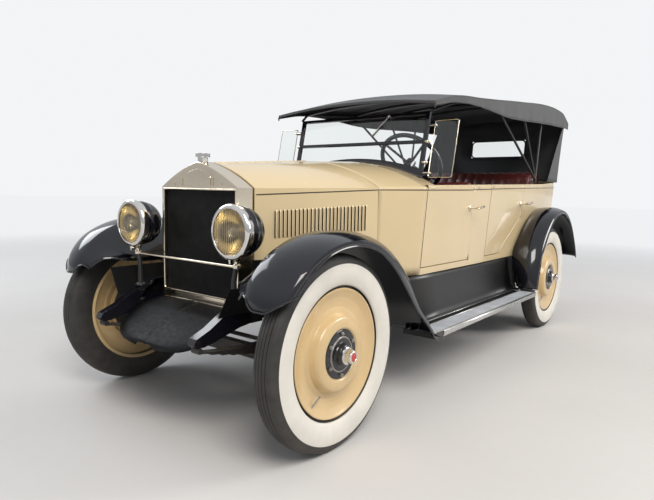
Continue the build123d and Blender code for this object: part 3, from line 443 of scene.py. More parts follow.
def fix(obj: Object, body: str, replaces: Sequence[str] = ()) -> Object:
    """Let a piece ride on a body and the CAD nodes it stands for.

    Args:
        obj: the piece.
        body: the body that it rides on.
        replaces: CAD nodes that it stands for.

    Returns:
        The piece.
    """
    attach(obj, body)
    if replaces:
        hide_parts(*replaces)
    return obj


class Wiring:
    """Adds nodes to one tree and joins their sockets."""

    def __init__(self, tree: Tree) -> None:
        """Work on a tree."""
        self.tree = tree

    def add(self, kind: str, inputs: dict | None = None, **settings: object) -> Node:
        """Add a node.

        Args:
            kind: the node's type, without its prefix if it is a shader node.
            inputs: values or sockets for its inputs, by name or number.
            settings: its properties.

        Returns:
            The node.
        """
        prefix = "" if kind.startswith("Geometry") else "ShaderNode"
        node = self.tree.nodes.new(prefix + kind)
        for key, value in settings.items():
            setattr(node, key, value)
        self.feed(node, inputs or {})
        return node

    def feed(self, node: Node, inputs: dict) -> None:
        """Set or join inputs of a node.

        Args:
            node: the node.
            inputs: values or sockets for its inputs, by name or number.
        """
        for key, value in inputs.items():
            socket = node.inputs[key]
            if isinstance(value, Socket):
                self.tree.links.new(value, socket)
            else:
                socket.default_value = value

    def math(self, operation: str, a: object, b: object = 0.0, c: object = 0.0) -> Socket:
        """Output of a math node."""
        return self.add("Math", {0: a, 1: b, 2: c}, operation=operation).outputs[0]

    def mix(self, share: object, a: object, b: object) -> Socket:
        """Colour between two colours."""
        a, b = ((*c, 1.0) if isinstance(c, tuple) and len(c) == 3 else c for c in (a, b))
        return self.add("Mix", {0: share, 6: a, 7: b}, data_type="RGBA").outputs[2]

    def spread(self, value: object, low: float, high: float, to_low: float = 0.0,
               to_high: float = 1.0) -> Socket:
        """Value moved from one range to another, kept inside it."""
        return self.add("MapRange", {0: value, 1: low, 2: high, 3: to_low, 4: to_high}).outputs[0]

    def noise(self, where: object, scale: object, detail: float = 3.0, roughness: float = 0.55) -> Socket:
        """Noise value at a place."""
        return self.add("TexNoise", {"Vector": where, "Scale": scale, "Detail": detail,
                                     "Roughness": roughness}).outputs["Fac"]


def shader_group(name: str, inputs: Sequence[tuple[str, str, float]], outputs: Sequence[tuple[str, str]],
                 fill: Callable[[Wiring, Node, Node], None]) -> Tree:
    """Build a shader node group once.

    Args:
        name: its name.
        inputs: name, kind and default of each input.
        outputs: name and kind of each output.
        fill: draws the inside between the group's input and output nodes.

    Returns:
        The node group.
    """
    if name in bpy.data.node_groups:
        return bpy.data.node_groups[name]
    tree = bpy.data.node_groups.new(name, "ShaderNodeTree")
    for label, kind, default in inputs:
        socket = tree.interface.new_socket(label, in_out="INPUT", socket_type=f"NodeSocket{kind}")
        if kind == "Float":
            socket.default_value = default
    for label, kind in outputs:
        tree.interface.new_socket(label, in_out="OUTPUT", socket_type=f"NodeSocket{kind}")
    fill(Wiring(tree), tree.nodes.new("NodeGroupInput"), tree.nodes.new("NodeGroupOutput"))
    return tree


def mottle_group() -> Tree:
    """Slow and fine unevenness of a painted or cast surface, as two values from 0 to 1.

    Returns:
        The node group.
    """
    def fill(w: Wiring, source: Node, sink: Node) -> None:
        """Two noises on object coordinates.

        Args:
            w: what adds and wires the nodes.
            source: the node with the group's inputs.
            sink: the node with its outputs.
        """
        where = w.add("TexCoord").outputs["Object"]
        w.feed(sink, {"Slow": w.noise(where, source.outputs["Slow Scale"], 2.0),
                      "Fine": w.noise(where, source.outputs["Fine Scale"], 5.0, 0.65)})

    return shader_group("Mottle", [("Slow Scale", "Float", 3.0), ("Fine Scale", "Float", 60.0)],
                        [("Slow", "Float"), ("Fine", "Float")], fill)


def dust_group() -> Tree:
    """Road dust: more of it low on the car and on faces that look up, as a mask from 0 to 1.

    Returns:
        The node group.
    """
    def fill(w: Wiring, source: Node, sink: Node) -> None:
        """Height and facing masks broken up by noise.

        Args:
            w: what adds and wires the nodes.
            source: the node with the group's inputs.
            sink: the node with its outputs.
        """
        where = w.add("TexCoord").outputs["Object"]
        height = w.add("SeparateXYZ", {0: where}).outputs["Z"]
        facing = w.add("SeparateXYZ", {0: w.add("NewGeometry").outputs["Normal"]}).outputs["Z"]
        low = w.spread(height, 0.75, 0.05)
        up = w.spread(facing, 0.2, 1.0, 0.25, 1.0)
        spots = w.spread(w.noise(where, 9.0, 6.0, 0.7), 0.35, 0.75)
        share = w.math("MULTIPLY", w.math("MULTIPLY", low, up), w.math("MULTIPLY_ADD", spots, 0.7, 0.3))
        w.feed(sink, {"Mask": w.math("MULTIPLY", share, source.outputs["Amount"])})

    return shader_group("Road Dust", [("Amount", "Float", 0.3)], [("Mask", "Float")], fill)


def grain_group() -> Tree:
    """Leather grain: pebbles with creases between them, as a height, and slow colour drift.

    Returns:
        The node group.
    """
    def fill(w: Wiring, source: Node, sink: Node) -> None:
        """Cells for the pebbles, noise for the hide's drift.

        Args:
            w: what adds and wires the nodes.
            source: the node with the group's inputs.
            sink: the node with its outputs.
        """
        where = w.add("TexCoord").outputs["Object"]
        cells = w.add("TexVoronoi", {"Vector": where, "Scale": source.outputs["Grain"]},
                      feature="DISTANCE_TO_EDGE")
        w.feed(sink, {"Height": w.spread(cells.outputs[0], 0.0, 0.22), "Drift": w.noise(where, 6.0, 4.0)})

    return shader_group("Leather Grain", [("Grain", "Float", 420.0)],
                        [("Height", "Float"), ("Drift", "Float")], fill)


def weave_group() -> Tree:
    """Plain weave along two directions of the piece, as a height from 0 to 1, and its fading.

    Returns:
        The node group.
    """
    def fill(w: Wiring, source: Node, sink: Node) -> None:
        """Two crossed waves.

        Args:
            w: what adds and wires the nodes.
            source: the node with the group's inputs.
            sink: the node with its outputs.
        """
        where = w.add("TexCoord").outputs["Object"]
        split = w.add("SeparateXYZ", {0: where})
        pitch = source.outputs["Threads"]
        side = w.math("ADD", split.outputs["X"], split.outputs["Z"])
        a = w.math("SINE", w.math("MULTIPLY", side, pitch))
        b = w.math("SINE", w.math("MULTIPLY", split.outputs["Y"], pitch))
        w.feed(sink, {"Height": w.spread(w.math("MULTIPLY", a, b), -1.0, 1.0),
                      "Fading": w.noise(where, 4.0, 5.0, 0.6)})

    return shader_group("Cloth Weave", [("Threads", "Float", 3000.0)],
                        [("Height", "Float"), ("Fading", "Float")], fill)


DUST_COLOUR = (0.36, 0.31, 0.25)
COAT_ROUGHNESS = 0.04
GLASS_IOR = 1.45
BUMP_DEPTH = 0.001
BACKGROUND = (0.90, 0.91, 0.92, 1.0)
BACKGROUND_GLOW = 0.88


@dataclass(frozen=True)
class Finish:
    """A finish: its colour and how it takes the light."""

    name: str
    colour: Colour
    roughness: float = 0.5
    metallic: float = 0.0
    coat: float = 0.0
    dust: float = 0.0
    slow: float = 3.0
    fine: float = 60.0
    drift: float = 0.05
    bump: float = 0.02
    mirror: float = 0.5

    def material(self) -> Material:
        """The material, built at its first use."""
        return finished(self)

    def start(self) -> tuple[Material, Wiring, Node]:
        """Make the material with its plain values on the shader's own sockets.

        Returns:
            The material, its wiring and its shader.
        """
        mat = bpy.data.materials.new(self.name)
        mat.use_nodes = True
        mat.diffuse_color = (*self.colour, 1.0)
        w = Wiring(mat.node_tree)
        shader = mat.node_tree.nodes["Principled BSDF"]
        w.feed(shader, {"Metallic": self.metallic, "Roughness": self.roughness, "Coat Weight": self.coat,
                        "Coat Roughness": COAT_ROUGHNESS, "Specular IOR Level": self.mirror})
        return mat, w, shader

    def wire(self, w: Wiring, shader: Node) -> None:
        """Colour drift, roughness and fine bump of a coated or cast surface.

        Args:
            w: the material's wiring.
            shader: its shader.
        """
        mottle = w.add("Group", {"Slow Scale": self.slow, "Fine Scale": self.fine}, node_tree=mottle_group())
        slow, fine = mottle.outputs["Slow"], mottle.outputs["Fine"]
        darker = tuple(max(c * (1 - 2.4 * self.drift), 0.0) for c in self.colour)
        lighter = tuple(min(c * (1 + 1.6 * self.drift) + 0.01 * self.drift, 1.0) for c in self.colour)
        colour = w.mix(w.spread(slow, 0.3, 0.7), darker, lighter)
        rough = w.spread(fine, 0.3, 0.7, self.roughness * 0.85, min(self.roughness * 1.2 + 0.01, 1.0))
        if self.dust:
            mask = w.add("Group", {"Amount": self.dust}, node_tree=dust_group()).outputs["Mask"]
            colour = w.mix(mask, colour, DUST_COLOUR)
            rough = w.math("ADD", rough, w.math("MULTIPLY", mask, 0.5))
        self.join(w, shader, colour, rough, fine)

    def join(self, w: Wiring, shader: Node, colour: Socket, rough: Socket, height: Socket) -> None:
        """Feed the shader's colour, roughness and normal.

        Args:
            w: the material's wiring.
            shader: its shader.
            colour: the base colour.
            rough: the roughness.
            height: height of the bump, unless the finish has none.
        """
        w.feed(shader, {"Base Color": colour, "Roughness": rough})
        if self.bump:
            bump = w.add("Bump", {"Strength": self.bump, "Distance": BUMP_DEPTH, "Height": height})
            w.feed(shader, {"Normal": bump.outputs["Normal"]})


@cache
def finished(finish: Finish) -> Material:
    """The one material of a finish."""
    mat, w, shader = finish.start()
    finish.wire(w, shader)
    return mat


@dataclass(frozen=True)
class Leather(Finish):
    """Oiled hide with a pebbled grain."""

    grain: float = 420.0

    def wire(self, w: Wiring, shader: Node) -> None:
        """Creases darker and rougher than the pebbles.

        Args:
            w: the material's wiring.
            shader: its shader.
        """
        group = w.add("Group", {"Grain": self.grain}, node_tree=grain_group())
        height, drift = group.outputs["Height"], group.outputs["Drift"]
        dark = tuple(c * 0.45 for c in self.colour)
        colour = w.mix(w.spread(drift, 0.3, 0.75), self.colour, tuple(min(c * 1.35, 1.0) for c in self.colour))
        colour = w.mix(w.math("MULTIPLY", w.math("SUBTRACT", 1.0, height), 0.7), colour, dark)
        rough = w.spread(height, 0.0, 1.0, min(self.roughness * 1.4, 1.0), self.roughness)
        self.join(w, shader, colour, rough, height)


@dataclass(frozen=True)
class Cloth(Finish):
    """Rubbered top cloth with a fine weave and a little fading."""

    threads: float = 3000.0

    def wire(self, w: Wiring, shader: Node) -> None:
        """Fading lightens the cloth, the weave roughens it.

        Args:
            w: the material's wiring.
            shader: its shader.
        """
        group = w.add("Group", {"Threads": self.threads}, node_tree=weave_group())
        height, fading = group.outputs["Height"], group.outputs["Fading"]
        pale = tuple(min(c * 1.6 + 0.004, 1.0) for c in self.colour)
        colour = w.mix(w.spread(fading, 0.35, 0.8), self.colour, pale)
        colour = w.mix(w.math("MULTIPLY", w.math("SUBTRACT", 1.0, height), 0.35), colour,
                       tuple(c * 0.6 for c in self.colour))
        rough = w.spread(fading, 0.3, 0.7, self.roughness, min(self.roughness * 1.15, 1.0))
        w.feed(shader, {"Sheen Weight": 0.15, "Sheen Roughness": 0.5})
        self.join(w, shader, colour, rough, height)


@dataclass(frozen=True)
class Timber(Finish):
    """Varnished wood with long grain across the car."""

    def wire(self, w: Wiring, shader: Node) -> None:
        """Stretched noise for the grain.

        Args:
            w: the material's wiring.
            shader: its shader.
        """
        where = w.add("TexCoord").outputs["Object"]
        long = w.add("Mapping", {"Vector": where, "Scale": (2.0, 40.0, 40.0)}).outputs[0]
        grain = w.noise(long, 3.0, 8.0, 0.7)
        colour = w.mix(w.spread(grain, 0.35, 0.7), self.colour, tuple(c * 0.4 for c in self.colour))
        self.join(w, shader, colour, w.spread(grain, 0.3, 0.7, self.roughness, self.roughness * 1.3), grain)


@dataclass(frozen=True)
class Clear(Finish):
    """Clear glass, with a trace of haze in its tint."""

    def wire(self, w: Wiring, shader: Node) -> None:
        """Plain transmission; only tint and roughness vary.

        Args:
            w: the material's wiring.
            shader: its shader.
        """
        w.feed(shader, {"Transmission Weight": 1.0, "IOR": GLASS_IOR})
        mottle = w.add("Group", node_tree=mottle_group())
        colour = w.mix(w.spread(mottle.outputs["Slow"], 0.3, 0.7), self.colour,
                       tuple(c * 0.97 for c in self.colour))
        rough = w.spread(mottle.outputs["Fine"], 0.4, 0.8, self.roughness, self.roughness + 0.02)
        self.join(w, shader, colour, rough, mottle.outputs["Fine"])


@dataclass(frozen=True)
class Fluted(Clear):
    """Pressed lens glass with upright flutes."""

    pitch: float = 0.009

    def join(self, w: Wiring, shader: Node, colour: Socket, rough: Socket, height: Socket) -> None:
        """Feed the shader, its bump from flutes that are a wave across the car.

        Args:
            w: the material's wiring.
            shader: its shader.
            colour: the base colour.
            rough: the roughness.
            height: height of the plain glass, which the flutes replace; not used.
        """
        side = w.add("SeparateXYZ", {0: w.add("TexCoord").outputs["Object"]}).outputs["X"]
        flutes = w.math("ABSOLUTE", w.math("SINE", w.math("MULTIPLY", side, math.pi / self.pitch)))
        super().join(w, shader, colour, rough, flutes)


@dataclass(frozen=True)
class Backdrop(Finish):
    """Studio floor that turns into the pale background away from the car."""

    near: float = 3.2
    far: float = 11.0

    def join(self, w: Wiring, shader: Node, colour: Socket, rough: Socket, height: Socket) -> None:
        """Fade the colour out and the background's light in with the distance from the middle.

        Only rays from the camera or by way of gloss and glass see that light, so it lights nothing.

        Args:
            w: the material's wiring.
            shader: its shader.
            colour: the floor's colour near the car.
            rough: the roughness.
            height: height of the bump.
        """
        where = w.add("TexCoord").outputs["Object"]
        away = w.add("VectorMath", {0: where}, operation="LENGTH").outputs["Value"]
        share = w.spread(away, self.near, self.far)
        path = w.add("LightPath").outputs
        seen = w.math("MAXIMUM", path["Is Glossy Ray"], path["Is Transmission Ray"])
        seen = w.math("MAXIMUM", path["Is Camera Ray"], seen)
        glow = w.math("MULTIPLY", w.math("MULTIPLY", share, BACKGROUND_GLOW), seen)
        w.feed(shader, {"Emission Strength": glow, "Emission Color": BACKGROUND})
        super().join(w, shader, w.mix(share, colour, (0.02, 0.02, 0.02)), rough, height)


CREAM = Finish("cream_enamel", (0.640, 0.500, 0.290), 0.22, coat=0.55, slow=1.2, fine=25.0, drift=0.02,
               bump=0.006)
CREAM_WHEEL = Finish("cream_wheel_enamel", (0.600, 0.430, 0.215), 0.3, coat=0.4, dust=0.25, slow=6.0,
                     drift=0.03, bump=0.01)
BLACK = Finish("black_enamel", (0.0050, 0.0052, 0.0085), 0.11, coat=0.25, dust=0.02, slow=2.0, fine=18.0,
               drift=0.1, bump=0.004)
SATIN = Finish("satin_black", (0.012, 0.012, 0.013), 0.42, dust=0.35, slow=5.0, drift=0.2, bump=0.05)
IRON = Finish("chassis_iron", (0.020, 0.019, 0.019), 0.5, metallic=0.2, dust=0.8, slow=8.0, drift=0.3,
              bump=0.15)
NICKEL = Finish("nickel_plate", (0.76, 0.67, 0.53), 0.15, metallic=1.0, slow=4.0, fine=110.0, drift=0.05,
                bump=0.01)
CHROME = Finish("bright_plate", (0.72, 0.70, 0.67), 0.08, metallic=1.0, slow=6.0, fine=90.0, drift=0.03,
                bump=0.006)
REFLECTOR = Finish("reflector", (0.92, 0.80, 0.55), 0.2, metallic=1.0, slow=8.0, fine=60.0, drift=0.03,
                   bump=0.01)
CORE = Finish("radiator_core_black", (0.008, 0.008, 0.008), 0.45, slow=20.0, drift=0.2, bump=0.1)
TYRE_BLACK = Finish("tyre_rubber", (0.016, 0.015, 0.0145), 0.62, dust=0.55, slow=14.0, fine=220.0, drift=0.22,
                    bump=0.16)
TYRE_WHITE = Finish("tyre_white", (0.66, 0.63, 0.57), 0.5, dust=0.14, slow=10.0, fine=120.0, drift=0.03,
                    bump=0.03)
TOP_CLOTH = Cloth("top_cloth", (0.022, 0.0225, 0.024), 0.6, bump=0.18)
LINING = Leather("black_trim_leather", (0.016, 0.014, 0.013), 0.5, bump=0.15)
BINDING = Cloth("top_binding", (0.008, 0.008, 0.009), 0.5, bump=0.1)
LINE = Finish("line_black", (0.030, 0.024, 0.018), 0.35, slow=6.0, drift=0.2, bump=0.01)
OXBLOOD = Leather("oxblood_leather", (0.105, 0.018, 0.016), 0.36, coat=0.15, bump=0.18)
GLASS = Clear("window_glass", (0.93, 0.96, 0.95), 0.0, bump=0.0)
FLUTED = Fluted("fluted_glass", (1.0, 0.96, 0.84), 0.04, bump=0.9, pitch=0.012)
WALNUT = Timber("varnished_wood", (0.150, 0.060, 0.022), 0.22, coat=0.5, bump=0.05)
# Grey covering whose base colour is kept lighter and bluer than its own dark grey: a painted sky reflection.
LINO_PAINTED_SKY = Finish("board_covering", (0.40, 0.42, 0.46), 0.42, dust=0.1, slow=5.0, fine=120.0, drift=0.12, bump=0.06)
APRON = Finish("apron_black", (0.004, 0.004, 0.0045), 0.5, slow=3.0, drift=0.15, bump=0.01, mirror=0.14)
SHEEN = Finish("apron_enamel", (0.006, 0.0055, 0.0055), 0.34, slow=2.0, drift=0.15, bump=0.01)
MAT = Finish("ribbed_mat", (0.030, 0.030, 0.032), 0.6, dust=0.5, slow=6.0, fine=160.0, drift=0.2, bump=0.12)
ALUMINIUM = Finish("aluminium_trim", (0.62, 0.62, 0.61), 0.26, metallic=1.0, slow=9.0, fine=180.0, drift=0.05,
                   bump=0.03)
STEEL = Finish("bolt_steel", (0.36, 0.34, 0.32), 0.34, metallic=1.0, slow=30.0, drift=0.1, bump=0.05)
# Painted shade: the louvres' dark mouths and the dark line along their feet.
PAINTED_SHADE = Finish("shadow_black", (0.004, 0.004, 0.004), 0.8, slow=10.0, drift=0.1, bump=0.02)
RED = Finish("red_enamel", (0.45, 0.02, 0.015), 0.2, coat=0.6, slow=20.0, drift=0.05, bump=0.01)
DIAL = Finish("dial_enamel", (0.62, 0.60, 0.52), 0.35, slow=40.0, drift=0.04, bump=0.01)
CONCRETE = Backdrop("studio_floor", (0.62, 0.60, 0.58), 0.8, slow=0.6, fine=14.0, drift=0.02, bump=0.03)


def dress(node: str, finish: Finish) -> None:
    """Give a CAD node its finish, its mesh left alone."""
    obj = frame["nodes"][node]
    obj.data.materials.clear()
    obj.data.materials.append(finish.material())


def body_of(node: str) -> str:
    """The body that a CAD node belongs to."""
    return frame["nodes"][node]["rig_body"]


def polished(node: str, finish: Finish, bevel: float) -> Object:
    """A merged and smoothly shaded copy of a CAD node that stands for it.

    Args:
        node: the CAD node.
        finish: its finish.
        bevel: width of its softened edges, in millimetres.

    Returns:
        The copy.
    """
    mesh = frame["nodes"][node].data.copy()
    mesh.name = f"{node}_skin"
    work = bmesh.new()
    work.from_mesh(mesh)
    bmesh.ops.remove_doubles(work, verts=work.verts, dist=1e-5)
    bmesh.ops.dissolve_limit(work, angle_limit=math.radians(0.6), verts=work.verts, edges=work.edges)
    for face in work.faces:
        face.material_index = 0
    work.to_mesh(mesh)
    work.free()
    mesh.materials.clear()
    mesh.materials.append(finish.material())
    if mesh.has_custom_normals:
        mesh.normals_split_custom_set([(0.0, 0.0, 0.0)] * len(mesh.loops))
    mesh.shade_smooth()
    mesh.set_sharp_from_angle(angle=SKIN_ANGLE)
    obj = linked(f"{node}_skin", mesh)
    soften(obj, bevel)
    return fix(obj, body_of(node), (node,))


@dataclass
class WheelSet:
    """One disc wheel with its whitewall tyre, hub cap, bolts and valve."""

    name: str
    centre: Point
    outward: Point
    body: str
    nodes: tuple[str, str]
    spare: bool = False
    steps: int = 120
    bolts: int = 6
    bolt_ring: float = 88.0
    flange_face: float = 57.0

    def tyre(self) -> Object:
        """Turned tyre: white outer wall, dark shoulders and a ribbed tread.

        Returns:
            The tyre.
        """
        outer = [(40.0, 286.0), (46.0, 288.0)] + arc((50, 294), (61, 352), (50, 398), 26)
        inner = [(-a, r) for a, r in reversed(outer)]
        wall: list[Pair] = []
        for a, r in outer:
            ridge = 1.4 * math.exp(-((r - 369.0) / 2.2) ** 2) + 1.6 * math.exp(-((r - 380.0) / 2.6) ** 2)
            wall.append((a + ridge, r))
        tread: list[Pair] = [(46, 405), (41, 411)]
        for edge in (25.0, 9.0, -7.0, -23.0):
            low = 419 - 7 * (edge / 40) ** 2
            low_far = 419 - 7 * ((edge - 3) / 40) ** 2
            tread += [(edge, low), (edge - 0.6, low - 5), (edge - 2.4, low_far - 5), (edge - 3, low_far)]
        tread += [(-41, 411), (-46, 405)]
        profile = wall + tread + inner + [(-44, 284), (40, 284), (40, 286)]
        paints = [1 if min(a0, a1) >= 40 and 286 <= (r0 + r1) / 2 < 377.5 else 0
                  for (a0, r0), (a1, r1) in zip(profile, profile[1:])]
        form = Form()
        form.lathe(profile, self.centre, self.outward, self.steps, paints)
        return form.piece(f"{self.name}_tyre", self.body, (TYRE_BLACK, TYRE_WHITE), "tyre", (self.nodes[0],),
                          angle=50)

    def disc(self) -> Object:
        """Turned disc: rim flange, ring groove, dished disc with a raised centre, and the drum behind.

        Returns:
            The disc.
        """
        outer = [(44, 285), (34, 285), (31, 284), (31, 276.5), (39, 276), (42, 274), (42.5, 271), (40, 267)]
        outer += eased([(37, 262), (25, 236), (20, 212), (18, 186), (21, 170), (50, 160), (58, 151), (61, 134),
                        (61, 113), (56, 106)], 5.0, 4)
        if self.spare:
            hub = [(50, 103), (49, 60), (49, 0), (40, 0), (40, 80)]
        else:
            hub = [(50, 104), (50, 20), (-28, 20), (-28, 150), (-30, 172), (-4, 172), (-4, 140), (20, 128)]
        back = [(32, 112), (12, 236), (0, 268), (-20, 284), (-54, 286), (-54, 302), (-44, 297)]
        profile = outer + hub + back
        # The recessed ring between the tyre's bead and the disc is painted satin black: painted shade of the
        # gap there.
        paints = [1 if (r0 + r1) / 2 >= 276 and 30 < (a0 + a1) / 2 < 45 else 0
                  for (a0, r0), (a1, r1) in zip(profile, profile[1:])]
        form = Form()
        form.lathe(profile, self.centre, self.outward, self.steps, paints)
        return form.piece(f"{self.name}_disc", self.body, (CREAM_WHEEL, SATIN), "cream_enamel",
                          (self.nodes[1],), angle=42)

    def hub(self) -> None:
        """Dark flange, plated cap with a red end, and the valve stem."""
        if self.spare:
            parts = [([(48, 60), (56, 60), (60, 54), (60, 0)], 64, 0),
                     ([(58, 22), (74, 22), (77, 18), (78, 0)], 32, 1)]
        else:
            flange = [(48, 104), (55, 104), (57, 100), (57, 74), (60, 69), (61, 52), (66, 48), (80, 45),
                      (84, 40), (86, 34), (86, 0)]
            parts = [(eased(flange, 1.8), 64, 0),
                     ([(56, 76), (59, 75.5), (61, 73), (61, 69), (58, 67)], 64, 3),
                     ([(84, 37), (90, 37), (92, 34), (92, 0)], 64, 1),
                     (eased([(90, 32), (114, 31), (114, 0)], 1.2, 2), 6, 1),
                     (eased([(112, 26), (120, 25.5), (122, 22), (122, 18)], 1.2, 2) + [(120.5, 17)], 48, 1),
                     ([(119, 17.4), (122, 16.5), (123, 10), (123.2, 0)], 32, 2)]
        form = Form()
        for profile, steps, paint in parts:
            form.lathe(profile, self.centre, self.outward, steps, paint)
        form.piece(f"{self.name}_hub", self.body, (BLACK, CHROME, RED, STEEL), "nickel", angle=32)
        valve = Form()
        out = Vector(self.outward)
        side = Vector((0.62, 0, -0.78)) if self.spare else Vector((0, -0.62, -0.78))
        root = Vector(self.centre) + side * 248 + out * 28
        tip = root - side * 46 + out * 13
        valve.tube([root, root + (tip - root) * 0.7, tip], [4.2, 3.6, 3.6], 10)
        valve.tube([tip, tip + (tip - root) * 0.22], 4.4, 8)
        valve.piece(f"{self.name}_valve", self.body, (STEEL,), "nickel")

    def bolt_circle(self) -> None:
        """Hexagon bolts round the flange, from a node tree."""
        ring = 40.0 if self.spare else self.bolt_ring
        nut = Form()
        nut.lathe(eased([(0, 8.5), (6, 8.5), (7.5, 7), (7.5, 0)], 0.8, 1), ORIGIN, UP, 6)
        nut.lathe([(7.0, 4.2), (11.0, 4.2), (12.0, 3.2), (12.0, 0)], ORIGIN, UP, 10)
        seed = nut.mesh(f"{self.name}_bolt", (STEEL,))
        made = ring_of(f"{self.name}_bolts", seed, self.bolts, ring, STEEL)
        axis = Vector(self.outward)
        turn = Vector(UP).rotation_difference(axis).to_matrix().to_4x4()
        spot = place(*(Vector(self.centre) + axis * self.flange_face))
        made.data.transform(Matrix.Translation(spot) @ turn)
        fix(made, self.body)

    def build(self) -> None:
        """Make all of the wheel."""
        self.tyre()
        self.disc()
        self.hub()
        self.bolt_circle()


def geometry_tree(name: str, inputs: Sequence[tuple[str, str, float]]) -> tuple[Tree, Wiring, Node, Node]:
    """Start a geometry node tree with named inputs and one geometry output.

    Args:
        name: its name.
        inputs: name, kind and default of each input.

    Returns:
        The tree, its wiring, its input node and its output node.
    """
    tree = bpy.data.node_groups.new(name, "GeometryNodeTree")
    tree.interface.new_socket("Geometry", in_out="INPUT", socket_type="NodeSocketGeometry")
    for label, kind, default in inputs:
        socket = tree.interface.new_socket(label, in_out="INPUT", socket_type=f"NodeSocket{kind}")
        if kind in ("Float", "Int"):
            socket.default_value = default
    tree.interface.new_socket("Geometry", in_out="OUTPUT", socket_type="NodeSocketGeometry")
    return tree, Wiring(tree), tree.nodes.new("NodeGroupInput"), tree.nodes.new("NodeGroupOutput")


def settle(name: str, tree: Tree, values: dict[str, object]) -> Object:
    """Run a geometry node tree and keep its result as a plain mesh.

    Args:
        name: name of the finished object.
        tree: the node tree.
        values: the tree's inputs, by name.

    Returns:
        The object with its mesh made.
    """
    base = linked(f"{name}_base", bpy.data.meshes.new(f"{name}_base"))
    modifier = base.modifiers.new("repeat", "NODES")
    modifier.node_group = tree
    for item in tree.interface.items_tree:
        if item.item_type == "SOCKET" and item.in_out == "INPUT" and item.name in values:
            modifier[item.identifier] = values[item.name]
    graph = bpy.context.evaluated_depsgraph_get()
    mesh = bpy.data.meshes.new_from_object(base.evaluated_get(graph), depsgraph=graph)
    mesh.name = name
    bpy.data.objects.remove(base)
    return linked(name, mesh)


def seed_object(mesh: Mesh) -> Object:
    """An unlinked object that holds the shape to repeat."""
    return bpy.data.objects.new(f"{mesh.name}_seed", mesh)


@cache
def ring_tree() -> Tree:
    """Node tree that stands copies of a shape round a circle.

    Returns:
        The node tree.
    """
    tree, w, source, sink = geometry_tree("Ring of Copies", [
        ("Count", "Int", 6), ("Radius", "Float", 0.07), ("Shape", "Object", 0), ("Finish", "Material", 0)])
    given = source.outputs
    circle = w.add("GeometryNodeMeshCircle", {"Vertices": given["Count"], "Radius": given["Radius"]})
    shape = w.add("GeometryNodeObjectInfo", {"Object": given["Shape"]})
    copies = w.add("GeometryNodeInstanceOnPoints",
                   {"Points": circle.outputs[0], "Instance": shape.outputs["Geometry"]})
    real = w.add("GeometryNodeRealizeInstances", {0: copies.outputs[0]})
    painted = w.add("GeometryNodeSetMaterial", {"Geometry": real.outputs[0], "Material": given["Finish"]})
    w.feed(sink, {0: painted.outputs[0]})
    return tree


def ring_of(name: str, shape: Mesh, count: int, radius: float, finish: Finish) -> Object:
    """Copies of a shape round a circle about the frame's origin.

    Args:
        name: name of the result.
        shape: the shape to repeat.
        count: number of copies.
        radius: of their circle, in millimetres.
        finish: their finish.

    Returns:
        The object, still at the origin.
    """
    return settle(name, ring_tree(), {"Count": count, "Radius": radius * MM, "Shape": seed_object(shape),
                                      "Finish": finish.material()})


@cache
def row_tree() -> Tree:
    """Node tree that stands copies of a shape along a straight line, each turned by the same angles.

    Returns:
        The node tree.
    """
    tree, w, source, sink = geometry_tree("Row of Copies", [
        ("Count", "Int", 10), ("Start", "Vector", 0), ("End", "Vector", 0), ("Turn", "Vector", 0),
        ("Shape", "Object", 0)])
    given = source.outputs
    step = w.add("VectorMath", {0: given["End"], 1: given["Start"]}, operation="SUBTRACT")
    share = w.math("DIVIDE", 1.0, w.math("SUBTRACT", given["Count"], 1.0))
    pitch = w.add("VectorMath", {0: step.outputs[0], "Scale": share}, operation="SCALE")
    line = w.add("GeometryNodeMeshLine", {
        "Count": given["Count"], "Start Location": given["Start"], "Offset": pitch.outputs[0]}, mode="OFFSET")
    shape = w.add("GeometryNodeObjectInfo", {"Object": given["Shape"]})
    copies = w.add("GeometryNodeInstanceOnPoints", {
        "Points": line.outputs[0], "Instance": shape.outputs["Geometry"], "Rotation": given["Turn"]})
    real = w.add("GeometryNodeRealizeInstances", {0: copies.outputs[0]})
    keep = w.add("GeometryNodeSetShadeSmooth", {0: real.outputs[0]})
    w.feed(sink, {0: keep.outputs[0]})
    return tree


def row_of(name: str, shape: Mesh, count: int, start: Vector, end: Vector,
           turn: Vector = Vector((0, 0, 0))) -> Object:
    """Copies of a shape, with its own materials, along a line.

    Args:
        name: name of the result.
        shape: the shape to repeat.
        count: number of copies.
        start: place of the first, in the frame's metres.
        end: place of the last.
        turn: turn of each copy, in radians.

    Returns:
        The object with its place in its mesh.
    """
    return settle(name, row_tree(), {"Count": count, "Start": start, "End": end, "Turn": turn,
                                     "Shape": seed_object(shape)})


